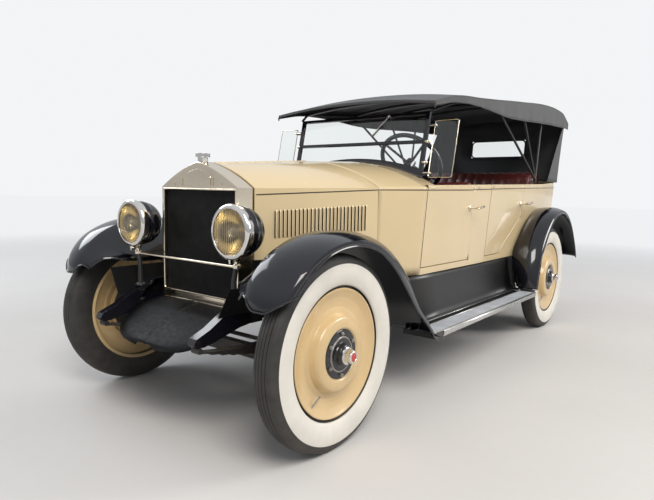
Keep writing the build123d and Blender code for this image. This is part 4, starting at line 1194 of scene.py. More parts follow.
@dataclass
class Studio:
    """Pale floor and world, soft lamps and the photograph's camera."""

    eye: Point = (2065.48, -3236.49, 1087.95)
    heading: float = 37.94
    dip: float = 6.10
    roll: float = 1.23
    focal_px: float = 543.55
    width_px: float = 654.0
    sensor: float = 36.0
    reach: float = 60.0

    def floor(self) -> None:
        """A wide pale floor that keeps the shadow."""
        mesh = bpy.data.meshes.new("studio_floor")
        corners = [(sx * self.reach, sy * self.reach, 0) for sx, sy in ((-1, -1), (1, -1), (1, 1), (-1, 1))]
        mesh.from_pydata(corners, [], [(0, 1, 2, 3)])
        mesh.materials.append(CONCRETE.material())
        linked("studio_floor", mesh)

    def world(self) -> None:
        """White to the camera and to gloss and glass, softer as a light."""
        world = bpy.data.worlds.new("studio_world")
        bpy.context.scene.world = world
        world.use_nodes = True
        w = Wiring(world.node_tree)
        world.node_tree.nodes.clear()
        path = w.add("LightPath")
        seen = w.math("MAXIMUM", path.outputs["Is Camera Ray"], path.outputs["Is Transmission Ray"])
        where = w.add("TexCoord").outputs["Generated"]
        height = w.add("SeparateXYZ", {0: where}).outputs["Z"]
        glow = w.spread(height, 0.0, 0.5, 0.50, 0.85)
        lit = w.add("Background", {"Color": (0.88, 0.93, 1.0, 1.0), "Strength": 0.50})
        gloss = w.add("Background", {"Color": (0.90, 0.92, 0.96, 1.0), "Strength": glow})
        shown = w.add("Background", {"Color": BACKGROUND, "Strength": 1.0})
        half = w.add("MixShader", {0: path.outputs["Is Glossy Ray"], 1: lit.outputs[0], 2: gloss.outputs[0]})
        whole = w.add("MixShader", {0: seen, 1: half.outputs[0], 2: shown.outputs[0]})
        out = w.add("OutputWorld", {0: whole.outputs[0]})
        out.is_active_output = True

    def lamp(self, name: str, spot: Point, aim: Point, size: float, power: float, colour: Colour) -> None:
        """One soft square lamp.

        Args:
            name: its name.
            spot: where it hangs, in metres.
            aim: what it points at.
            size: its side.
            power: in watts.
            colour: of its light.
        """
        data = bpy.data.lights.new(name, "AREA")
        data.shape, data.size, data.energy, data.color = "SQUARE", size, power, colour
        lamp = linked(name, data)
        lamp.location = spot
        lamp.rotation_euler = (Vector(aim) - Vector(spot)).to_track_quat("-Z", "Y").to_euler()

    def camera(self) -> None:
        """The photograph's camera."""
        a, e, r = (math.radians(v) for v in (self.heading, self.dip, self.roll))
        ahead = Vector((-math.sin(a) * math.cos(e), math.cos(a) * math.cos(e), -math.sin(e)))
        right = Vector((math.cos(a), math.sin(a), 0))
        up = right.cross(ahead)
        right, up = right * math.cos(r) + up * math.sin(r), up * math.cos(r) - right * math.sin(r)
        data = bpy.data.cameras.new("photo_camera")
        data.sensor_width = self.sensor
        data.lens = self.focal_px / self.width_px * self.sensor
        data.clip_end = 200.0
        camera = linked("photo_camera", data)
        turn = Matrix((right, up, -ahead)).transposed().to_4x4()
        camera.matrix_world = Matrix.Translation(place(*self.eye)) @ turn
        bpy.context.scene.camera = camera

    def build(self) -> None:
        """Make the whole studio."""
        self.floor()
        self.world()
        self.camera()
        self.lamp("key_lamp", (4.5, -4.5, 6.0), (0, -0.6, 0.7), 3.5, 430, (1.0, 0.96, 0.90))
        self.lamp("side_lamp", (6.0, 4.5, 4.2), (0, 0.6, 1.2), 3.0, 330, (1.0, 0.98, 0.95))
        self.lamp("far_lamp", (-6.0, -2.0, 5.0), (0, 0, 0.6), 4.0, 220, (0.92, 0.96, 1.0))
        bpy.context.scene.view_settings.view_transform = "Standard"


@dataclass
class Carried:
    """CAD nodes that keep their own shape: a finish for each, and smooth copies where facets would show."""

    copies: tuple[tuple[str, Finish, str, float], ...] = (
        ("bonnet_left", CREAM, "cream_enamel", 1.5),
        ("bonnet_right", CREAM, "cream_enamel", 1.5),
        ("radiator_cap", CHROME, "nickel", 2.0),
        ("spare_carrier", SATIN, "black_enamel", 1.5),
        ("front_axle", IRON, "iron", 2.0),
        ("knuckle_left", IRON, "iron", 1.5),
        ("knuckle_right", IRON, "iron", 1.5),
        ("tie_rod", IRON, "iron", 1.0),
        ("rear_axle", IRON, "iron", 1.5),
        ("chassis_frame", BLACK, "black_enamel", 1.0),
        ("springs", IRON, "iron", 0.5),
        ("exhaust", IRON, "iron", 1.0),
        ("fuel_tank", SATIN, "black_enamel", 3.0),
        ("steering_column", BLACK, "black_enamel", 0.8),
        ("steering_wheel", BLACK, "black_enamel", 0.8),
        ("dashboard", WALNUT, "wood", 2.0),
        ("windscreen_frame", BLACK, "black_enamel", 1.0),
        ("top_bows", SATIN, "black_enamel", 1.5),
        ("tail_lamp", BLACK, "black_enamel", 1.0),
    )
    dressed: tuple[tuple[str, Finish], ...] = (
        ("bonnet_hinge", NICKEL),
        ("engine_block", IRON),
        ("floor", MAT),
        ("radiator_core", CORE),
        ("windscreen_glass", GLASS),
        ("wind_wings", GLASS),
    )

    def build(self) -> None:
        """Dress or copy every carried-over node."""
        for node, finish in self.dressed:
            dress(node, finish)
        for node, finish, slot, bevel in self.copies:
            polished(node, finish, bevel)


def on_both_sides(form: Form, name: str, finishes: Sequence[Finish], slot: str, replaces: Sequence[str] = (),
                  **looks: float) -> Object:
    """One piece of the chassis body from a form of the left side and its mirror image.

    Args:
        form: the left side.
        name: name of the piece.
        finishes: the finishes that the paint numbers stand for.
        slot: the record's material slot; not used.
        replaces: CAD nodes that it stands for.
        looks: further settings of Form.piece.

    Returns:
        The object.
    """
    pair = Form()
    pair.take(form)
    pair.take(form.mirrored())
    return pair.piece(name, "chassis", finishes, slot, replaces, **looks)


def on_each_side(form: Form, name: str, body: str, finishes: Sequence[Finish], slot: str, node: str = "",
                 **looks: float) -> None:
    """A piece on each side, the left one as drawn and the right one its mirror image.

    Args:
        form: the left side.
        name: name of the pieces, with {} where the side's name goes.
        body: the body that they ride on, without its side.
        finishes: the finishes that the paint numbers stand for.
        slot: the record's material slot; not used.
        node: the CAD node that they stand for, without its side, if any.
        looks: further settings of Form.piece.
    """
    for side, shape in ((Side.LEFT, form), (Side.RIGHT, form.mirrored())):
        replaces = [side.of(node)] if node else []
        shape.piece(name.format(side.label), side.of(body), finishes, slot, replaces, **looks)


def across(half: Sequence[tuple[float, ...]]) -> list[tuple[float, ...]]:
    """A line across the car from its left half, whose last point lies on the middle."""
    return [*half, *((-p[0], *p[1:]) for p in reversed(half[:-1]))]


def rounded(low: Pair, high: Pair, radius: float, steps: int) -> list[Pair]:
    """A rectangle with round corners.

    Args:
        low: centre of its lowest corner.
        high: centre of its highest corner.
        radius: of the corners.
        steps: segments of each corner.

    Returns:
        The points round it.
    """
    corners = ((high[0], high[1], 0.0), (low[0], high[1], 90.0), (low[0], low[1], 180.0),
               (high[0], low[1], 270.0))
    ring = []
    for x, y, start in corners:
        for k in range(steps + 1):
            angle = math.radians(start + 90.0 * k / steps)
            ring.append((x + radius * math.cos(angle), y + radius * math.sin(angle)))
    return ring


@dataclass(frozen=True)
class Fender:
    """Crowned sheet over a wheel, from stations round the axle; the same section rules as the solid's."""

    name: str
    axle_y: float
    stations: tuple[tuple[float, ...], ...]
    node: str
    first: float
    last: float
    nose: tuple[Pair, ...] = ()
    foot: tuple[Pair, ...] = ()
    web: Pair = (836.0, 842.5)
    lip: float = 22.0
    rows: int = 96
    nose_from: float = 126.0

    def bow(self, x_crest: float, r_crest: float, x_end: float, r_end: float, steps: int) -> list[Pair]:
        """Arc, level at the crest, out to an edge.

        Args:
            x_crest: place of the crest.
            r_crest: its radius.
            x_end: place of the edge.
            r_end: its radius.
            steps: segments.

        Returns:
            Points from crest to edge.
        """
        dx, dr = abs(x_end - x_crest), max(r_crest - r_end, 1.0)
        radius = (dx * dx + dr * dr) / (2 * dr)
        whole = math.atan2(dx, radius - dr)
        sign = 1 if x_end > x_crest else -1
        return [(x_crest + sign * radius * math.sin(whole * k / steps),
                 r_crest - radius + radius * math.cos(whole * k / steps))
                for k in range(steps + 1)]

    @cache
    def section(self, angle: float) -> tuple[Pair, ...]:
        """The sheet's section at an angle over the wheel, from its outer lip to the skirt.

        Args:
            angle: 0 is behind the wheel, 90 above it.

        Returns:
            Pairs of x and radius.
        """
        x_edge, r_edge, x_crest, r_crest, x_in, r_in, x_low, r_low = blend_table(self.stations, angle)
        outer = self.bow(x_crest, r_crest, x_edge, r_edge, 12)
        inner = self.bow(x_crest, r_crest, x_in, r_in, 10)
        lip = [(x_edge + 0.5, r_edge - self.lip), (x_edge + 2.0, r_edge - self.lip + 6),
               (x_edge + 1.8, r_edge - self.lip + 13)]
        fall = [(x_in + (x_low - x_in) * t, r_in + (r_low - r_in) * t) for t in (0.12, 0.28, 0.5, 0.75, 1.0)]
        return tuple(lip + outer[::-1] + inner[1:-1] + fall)

    def end_of(self, column: int) -> float:
        """Angle at which a column of the sheet meets the nose's cut.

        Args:
            column: its place in the section.

        Returns:
            That angle, or the sheet's last where it isn't cut.
        """
        angle = self.first
        while self.nose and angle < self.last:
            if angle > self.nose_from:
                x, r = self.section(angle)[column]
                if AXLE_Z + r * math.sin(math.radians(angle)) < blend_table(self.nose, x)[0]:
                    return angle
            angle += 0.5
        return self.last

    def spot(self, angle: float, column: int) -> Point:
        """A point of the sheet."""
        x, r = self.section(round(angle, 3))[column]
        return (x, self.axle_y + r * math.cos(math.radians(angle)), AXLE_Z + r * math.sin(math.radians(angle)))

    def sheet(self) -> list[list[Point]]:
        """Points of the sheet.

        Returns:
            Its rows, from the rear end to the front end.
        """
        columns = range(len(self.section(self.first)))
        ends = [self.end_of(j) for j in columns]
        for _ in range(2):
            ends = [ends[0]] + [(a + 2 * b + c) / 4 for a, b, c in zip(ends, ends[1:], ends[2:])] + [ends[-1]]
        return [[self.spot(self.first + (ends[j] - self.first) * i / self.rows, j) for j in columns]
                for i in range(self.rows + 1)]

    def build(self) -> None:
        """Sheets of both sides with a rolled bead along their free edges."""
        rows = self.sheet()
        form = Form()
        form.grid(rows)
        on_both_sides(form, f"{self.name}_sheet", (BLACK,), "black_enamel", (self.node,), wall=3.0, angle=50)
        bead = Form()
        bead.tube([row[0] for row in rows] + rows[-1][1:], 4.6, 8)
        on_both_sides(bead, f"{self.name}_bead", (BLACK,), "black_enamel")
        if self.foot:
            self.turn_foot()

    def turn_foot(self) -> None:
        """Close the end of the running board with a web whose beaded edge turns up to the board's trim."""
        curve: list[Pair] = []
        steps = 8
        for a, b, c, d in zip(self.foot[::3], self.foot[1::3], self.foot[2::3], self.foot[3::3]):
            for k in range(steps + 1):
                t = k / steps
                parts = ((1 - t) ** 3, 3 * t * (1 - t) ** 2, 3 * t * t * (1 - t), t ** 3)
                spot = tuple(sum(w * p[i] for w, p in zip(parts, (a, b, c, d))) for i in (0, 1))
                if not curve or math.dist(spot, curve[-1]) > 0.5:
                    curve.append(spot)
        inner, outer = self.web
        web = Form()
        web.prism([(inner, y, z) for y, z in curve + [(self.foot[0][0], self.foot[-1][1])]],
                  (outer - inner, 0, 0))
        web.tube([(outer - 2.5, y, z) for y, z in curve], 4.6, 8)
        on_both_sides(web, f"{self.name}_foot", (BLACK,), "black_enamel")


FRONT_STATIONS = (  # angle, then x and radius of the edge, the crest, the shoulder and the skirt
    (-4.0, 838, 718, 738, 762, 606, 748, 560, 735), (10.0, 828, 575, 735, 645, 606, 632, 560, 610),
    (25.0, 821, 516, 730, 596, 606, 578, 540, 555), (42.0, 820, 487, 726, 562, 606, 540, 510, 480),
    (58.0, 820, 482, 712, 542, 606, 520, 452, 385), (75.0, 820, 478, 690, 520, 606, 507, 444, 310),
    (92.0, 820, 476, 676, 509, 606, 500, 442, 288), (110.0, 820, 478, 668, 510, 606, 503, 444, 305),
    (125.0, 815, 475, 655, 514, 606, 508, 452, 360), (136.0, 804, 462, 650, 508, 606, 502, 490, 440),
    (144.0, 790, 448, 655, 490, 606, 480, 540, 450), (150.5, 762, 438, 668, 466, 606, 460, 585, 440))
NOSE_CUT = (  # x and the height at which the front fender ends
    (440.0, 560.0), (520.0, 640.0), (565.0, 694.0), (608.0, 688.0), (645.0, 655.0), (680.0, 645.0),
    (745.0, 664.0), (800.0, 708.0), (850.0, 742.0))
FOOT = (  # y and z of a chain of cubic curves
    (-786.0, 388.0), (-760.0, 364.0), (-738.0, 341.0), (-700.0, 341.0), (-670.0, 341.0), (-657.0, 356.0),
    (-655.0, 377.5))
REAR_EDGES = (  # angle, radius of the edge, then x and radius of the crest and the inner edge
    (182.4, 577, 765, 596, 690, 520), (168, 556, 752, 600, 664, 572), (154, 552, 742, 598, 648, 586),
    (140, 536, 736, 586, 646, 562), (125, 540, 736, 580, 646, 556), (108, 554, 738, 580, 646, 560),
    (90, 557, 740, 582, 646, 570), (72, 546, 740, 578, 646, 566), (54, 532, 740, 566, 640, 556),
    (36, 527, 740, 560, 620, 550), (14.5, 552, 740, 578, 600, 566))


def fenders() -> list[Fender]:
    """Front and rear fenders."""
    rear = tuple((a, 840.0, edge, cx, cr, ix, ir, ix - 24, ir - 14) for a, edge, cx, cr, ix, ir in REAR_EDGES)
    return [Fender("front_fender", FRONT_Y, FRONT_STATIONS, "front_fenders", -4.0, 150.5, NOSE_CUT, FOOT),
            Fender("rear_fender", REAR_Y, rear, "rear_fenders", 14.5, 182.4)]


@dataclass
class Headlamps:
    """Black drum, bright rim, fluted lens, reflector and bulb; left one drawn, both made."""

    x: float = 363.0
    z: float = 913.0
    front: float = -1720.0
    back: float = -1555.0

    def turned(self, form: Form, profile: Sequence[Pair], paint: int, steps: int = 72) -> None:
        """Turn a profile of distance behind the front face and radius about the lamp's axis."""
        form.lathe([(self.front + a, r) for a, r in profile], (self.x, 0, self.z), REARWARDS, steps, paint)

    def build(self) -> None:
        """Make the lamps."""
        drum = Form()
        depth = self.back - self.front
        turns = [math.radians(9 * k) for k in range(11)]
        shell = [(depth - 92 * (1 - math.cos(a)), 106 * math.sin(a)) for a in turns]
        shell += [(72, 107), (70, 108.6), (67, 108.6), (65, 107), (40, 107), (24, 107), (24, 100), (60, 99)]
        self.turned(drum, shell, 0)
        on_both_sides(drum, "lamp_drums", (BLACK,), "black_enamel", ("headlamps",), angle=40)
        rim = Form()
        ring = [(42, 105), (42, 110), (39, 111.5), (24, 112.5), (20, 114), (18, 117), (12, 118), (7, 116.5),
                (3, 112), (0.5, 106), (-0.5, 101.5), (1, 98.5), (4, 98), (6, 98.5), (8, 104)]
        self.turned(rim, ring, 0)
        latch = ((-7, 6, -114), (7, 6, -114), (4, 8, -132), (0, 9, -140), (-4, 8, -132))
        rim.prism([(self.x + dx, self.front + dy, self.z + dz) for dx, dy, dz in latch], (0, 12, 0))
        on_both_sides(rim, "lamp_rims", (CHROME,), "nickel", bevel=0.6)
        mirror = Form()
        bowl = [(8 + 78 * (1 - (r / 100) ** 2), r) for r in (100, 92, 82, 70, 56, 42, 30, 18)]
        self.turned(mirror, bowl, 0)
        self.turned(mirror, [(84, 18), (70, 17), (66, 14), (66, 0)], 1, 32)
        self.turned(mirror, [(66, 9), (58, 11), (50, 13.5), (42, 12), (36, 7), (34, 0)], 2, 24)
        on_both_sides(mirror, "lamp_reflectors", (REFLECTOR, STEEL, DIAL), "nickel", angle=60)
        lens = Form()
        face = [(7 - 5.5 * (1 - (r / 103.5) ** 2), r) for r in (103.5, 98, 90, 78, 64, 48, 32, 16, 0)]
        rear = [(a + 3.0, r) for a, r in reversed(face)]
        self.turned(lens, face + rear, 0, 72)
        on_both_sides(lens, "lamp_lenses", (FLUTED,), "lens", ("headlamp_lenses",), angle=40)


@dataclass
class Radiator:
    """Fins of the core, its seam strips, and the plated shell with its raised field."""

    half: float = 258.0
    low: float = 592.0
    high: float = 1083.0
    face: float = -1567.0
    front: float = -1589.0
    depth: float = 93.0
    fins: int = 84

    def ring(self, half: float, low: float, shoulder: float, apex: float, bow: float, y: float) -> list[Point]:
        """Loop round the front: foot, side, gable, other side; the same count of points for any shape.

        Args:
            half: half width.
            low: height of the foot.
            shoulder: height of the gable's ends.
            apex: height of its middle.
            bow: how far its slopes bulge.
            y: place along the car.

        Returns:
            The points round it.
        """
        steps = [k / 12 for k in range(13)]
        gable = [(half * (1 - t), shoulder + (apex - shoulder) * t + bow * 4 * t * (1 - t)) for t in steps]
        left = [(0.0, low), (half * 0.6, low), (half - 6, low), (half - 2, low + 2), (half, low + 6),
                (half, (low + shoulder) / 2), (half, shoulder - 4), *gable]
        return across([(x, y, z) for x, z in left])[:-1]

    def shell(self) -> None:
        """Plated shell: rolled opening, flat front with a raised gable field and ribs, and the sides."""
        front, depth = self.front, self.depth
        rows = [self.ring(self.half + more, self.low - more, self.high + more, self.high + more, 0.0, front + y)
                for more, y in ((0, 24), (0, 3), (1.5, 0), (4, -1.2), (7, -0.6), (9, 1.2))]
        rows += [self.ring(278.0 - less, 545.0 + less, 1098.0 - less * 0.6, 1217.0 - less * 1.1, 14.0,
                           front + y)
                 for less, y in ((8, 1.2), (3, 1.8), (0.6, 4), (0, 8), (0, depth - 6), (0, depth))]
        form = Form()
        form.grid(rows, wrap_columns=True)
        form.piece("radiator_surround", "chassis", (NICKEL,), "nickel", ("radiator_shell",), wall=2.0, angle=34)
        field = Form()
        outline = eased([(-96, 1104), (-96, 1146), (-58, 1170), (0, 1184), (58, 1170), (96, 1146), (96, 1104)],
                        10.0, 4)
        field.prism([(x, front + 1.5, z) for x, z in outline], (0, -4.0, 0))
        for x, top in ((112, 1142), (-112, 1142), (170, 1122), (-170, 1122)):
            field.block((x - 2, front - 2.2, 1102), (x + 2, front + 2, top))
        field.piece("radiator_field", "chassis", (NICKEL,), "nickel", bevel=1.0)

    def build(self) -> None:
        """Make the fins with a node tree, and the rolled edge round the opening."""
        fin = Form()
        y0 = ORIGIN[1]
        fin.block((-0.8, y0 - 4.5, self.low), (0.8, y0 + 1.0, self.high))
        seed = fin.mesh("core_fin", (CORE,))
        row = row_of("core_fins", seed, self.fins, place(-self.half + 6, self.face, 0),
                     place(self.half - 6, self.face, 0))
        fix(row, "chassis")
        bars = Form()
        for k in range(7):
            z = self.low + (k + 0.5) * (self.high - self.low) / 7
            bars.block((-self.half, self.face - 1.5, z - 0.7), (self.half, self.face + 1, z + 0.7))
        bars.block((-self.half - 2, self.face + 8, self.low - 2),
                   (self.half + 2, self.face + 12, self.high + 2))
        bars.piece("core_tubes", "chassis", (CORE,), "core")
        self.shell()


@dataclass
class Aprons:
    """Splash aprons: sloping side sheets, and the front one between the frame's horns."""

    half: float = 323.0
    back: float = -1600.0
    length: float = 284.0
    shoulder: float = -1745.0
    nose: float = 139.0
    section: tuple[Pair, ...] = ((-1884.0, 404.0), (-1830.0, 443.0), (-1700.0, 523.0), (-1600.0, 548.0))
    side_x: float = 642.0
    stations: tuple[tuple[float, float, float], ...] = (  # y of the foot, y of the top, width of the foot
        (-704.0, -879.0, 26), (-300.0, -330.0, 26), (300.0, 290.0, 26), (884.0, 885.0, 26),
        (888.0, 889.0, 64), (972.0, 970.0, 64), (976.0, 974.0, 1), (1016.0, 1000.0, 1))

    def front(self) -> None:
        """Front apron: shield-shaped, edges turned down, a crease along its middle."""
        form = Form()
        rows = []
        for k in range(25):
            y = self.back - self.length * k / 24
            past = max(0.0, (self.shoulder - y) / self.nose)
            reach = self.half * (0.22 + 0.78 * math.sqrt(max(0.0, 1 - past ** 2.4)))
            base = lerp_table(self.section, y)
            row = []
            for t in (j / 16 - 1 for j in range(33)):
                x = reach * t
                row.append((x, y, base - 16 * abs(t) ** 7 - 5 * math.exp(-(x / 7.0) ** 2) + 7 * (1 - abs(t))))
            rows.append(row)
        form.grid(rows)
        form.piece("front_apron", "chassis", (APRON,), "black_enamel", ("splash_aprons",), wall=3.0, angle=50)

    def sides(self) -> None:
        """Side sheets from the body down to the running boards, with a rolled foot."""
        form = Form()
        rows = []
        for y_low, y_top, reach in self.stations:
            foot = [(self.side_x + reach * share, y_low, z)
                    for share, z in ((1.0, 376.5), (0.5, 378.0), (0.19, 384.0))]
            slope = [(self.side_x - 38 * t, y_low + (y_top - y_low) * t, 375 + 255 * t)
                     for t in (k / 8 for k in range(1, 9))]
            rows.append(foot + slope)
        form.grid(rows)
        on_both_sides(form, "side_aprons", (SHEEN,), "black_enamel", wall=3.0, angle=60)
        shield = Form()
        shield.prism([(438, -1780, 690), (442, -1780, 690), (372.5, -1780, 560), (368.5, -1780, 560)],
                     (0, 640, 0))
        on_both_sides(shield, "front_shields", (APRON,), "black_enamel", bevel=1.0)

    def build(self) -> None:
        """Make all aprons."""
        self.front()
        self.sides()


@dataclass
class Bonnet:
    """Louvres pressed in both sides of the bonnet."""

    count: int = 25
    first: tuple[float, float, float] = (-1390.0, 865.0, 1009.0)
    last: tuple[float, float, float] = (-885.0, 890.0, 1015.0)
    width: float = 13.5
    proud: float = 6.5
    nose_half: float = 283.0
    flare: float = 221.0
    run: float = 685.0

    def side(self, y: float) -> float:
        """Half width of the bonnet's side."""
        return self.nose_half + (y + 1490.0) * self.flare / self.run

    def louvre(self) -> Form:
        """One blister, open towards the rear, standing on the frame's origin.

        Returns:
            Its form, with x rearwards and -y outwards.
        """
        height = (self.first[2] - self.first[1] + self.last[2] - self.last[1]) / 2
        form = Form()
        rows = []
        steps = (0.0, 2.0, 5.0, 9.0, height / 2, height - 9.0, height - 5.0, height - 2.0, height)
        for z in steps:
            near = min(z, height - z)
            full = math.sin(min(near / 9.0, 1.0) * math.pi / 2)
            row = [(self.width * (1 - t), -self.proud * full * s, z) for t, s in
                   ((0.0, -0.05), (0.2, 0.22), (0.45, 0.6), (0.7, 0.88), (0.88, 1.0), (1.0, 0.98))]
            rows.append(row)
        form.grid(rows, paint=0)
        # A dark sheet closes the mouth and a thin dark strip lies along the foot: painted shade of the opening
        # and of the louvre's shadow.
        form.grid([[row[-1], (0.2, 0.6, row[-1][2])] for row in rows], paint=1)
        form.grid([[(0.2, -0.35, z), (-3.4, -0.35, z)] for z in (4.0, height - 4.0)], paint=1)
        form.points = [(x, y + ORIGIN[1], z) for x, y, z in form.points]
        return form

    def build(self) -> None:
        """Stand the louvres along both sides."""
        seed = self.louvre().mesh("louvre", (CREAM, PAINTED_SHADE), angle=50)
        start, end = (place(self.side(y) + 0.2, y, z) for y, z, _ in (self.first, self.last))
        turn = Vector((0, 0, math.atan2(self.run, self.flare)))
        twins(row_of("louvres_left", seed, self.count, start, end, turn), "louvres", "bonnet_lid")


def twin_of(obj: Object, name: str) -> Object:
    """Mirror image of a plain mesh on the car's other side, its faces still outwards.

    Args:
        obj: the piece on the left.
        name: name of the copy.

    Returns:
        The copy.
    """
    mesh = obj.data.copy()
    mesh.name = name
    mesh.transform(Matrix.Scale(-1, 4, (1, 0, 0)))
    mesh.flip_normals()
    return linked(name, mesh)


def twins(left: Object, name: str, body: str) -> None:
    """Fix a plain piece of the left side, and its mirror image on the right, to their bodies.

    Args:
        left: the piece on the left.
        name: name of the pieces, without their side.
        body: the body that they ride on, without its side.
    """
    right = twin_of(left, f"{name}_right")
    fix(left, Side.LEFT.of(body))
    fix(right, Side.RIGHT.of(body))


@dataclass
class RunningBoards:
    """Black board, ribbed mat let into its top and bright trim round its edge."""

    inner: float = 644.0
    outer: float = 840.0
    front: float = -738.5
    rear: float = 885.5
    low: float = 345.0
    high: float = 375.0
    ribs: int = 15

    def build(self) -> None:
        """Make boards, mats with ribs from a node tree, and trim."""
        board = Form()
        board.block((self.inner, self.front, self.low), (self.outer - 3, self.rear, self.high - 2.5))
        on_both_sides(board, "board_planks", (SATIN,), "black_enamel", ("running_boards",), bevel=2.0)
        split = self.inner + 74
        mat = Form()
        mat.block((split + 4, self.front + 8, self.high - 2.5),
                  (self.outer - 16, self.rear - 8, self.high - 0.4))
        mat.block((self.inner + 30, self.front + 8, self.high - 2.5),
                  (split - 4, self.rear - 8, self.high - 1.0), 1)
        # The outer mat's pale blue-grey colour is a painted sky reflection on the grey covering.
        on_both_sides(mat, "board_mats", (LINO_PAINTED_SKY, APRON), "mat", bevel=0.4)
        rib = Form()
        bulge = ((-1.6, 0.0), (-1.2, 0.7), (0.0, 1.0), (1.2, 0.7), (1.6, 0.0))
        rib.grid([[(x, ORIGIN[1] + y, z) for x, z in bulge] for y in (0.0, self.rear - self.front - 20)])
        seed = rib.mesh("mat_rib", (LINO_PAINTED_SKY,), angle=60)
        start, end = (place(x, self.front + 10, self.high - 0.6) for x in (split + 9, self.outer - 21))
        twins(row_of("mat_ribs_left", seed, self.ribs, start, end), "mat_ribs", "chassis")
        trim = Form()
        top, foot = ((-17, -1.6), (-16, 0.6), (-4, 1.2), (0, -1.5), (0.6, -8)), ((0, 4), (-3, 1), (-8, 1))
        edge = [(self.outer + dx, self.high + dz) for dx, dz in top]
        edge += [(self.outer + dx, self.low + dz) for dx, dz in foot]
        strips = [[(x + dx, self.high + dz) for dx, dz in ((-3, -1.5), (-2.4, 1.4), (2.4, 1.4), (3, -1.5))]
                  for x in (self.inner + 28, split)]
        for section in (edge, *strips):
            trim.grid([[(x, y, z) for x, z in section] for y in (self.front + 1, self.rear - 1)])
        on_both_sides(trim, "board_trim", (ALUMINIUM,), "nickel", wall=1.2, angle=40)


PLAN = ((-800.0, 505.0), (-504.5, 637.0), (0.0, 652.0), (350.0, 658.0), (1000.0, 657.0), (1600.0, 646.0),
        (1960.0, 618.0))
TOP_EDGE = ((-900.0, 1138.0), (-490.0, 1138.0), (1580.0, 1194.0), (2100.0, 1227.0), (2400.0, 1227.0))
TAIL = ((618.0, 1960.0), (592.0, 2040.0), (540.0, 2110.0), (470.0, 2139.0), (380.0, 2148.0), (0.0, 2150.0))
BELT_LINE = ((-1490.0, 1068.0), (-798.0, 1104.0), (-504.0, 1110.0), (23.0, 1119.0), (370.0, 1131.0),
             (1587.0, 1161.0), (2150.0, 1172.0))
BELT_Z = 1120.0
SILL_Z = 630.0
TUCK = 34.0


def level(z: float) -> Callable[[float], float]:
    """An edge that keeps one height along the car."""
    return lambda y: z


def raised(z: float, start: float, rise: float, run: float) -> Callable[[float], float]:
    """An edge that is level as far as a place along the car and climbs in a straight line behind it."""
    return lambda y: z + max(0.0, y - start) * rise / run


def side_x(y: float, z: float) -> float:
    """Half width of the body's outer face at a place along the car and a height."""
    return lerp_table(PLAN, y) - TUCK * max(0.0, (BELT_Z - z) / (BELT_Z - SILL_Z))


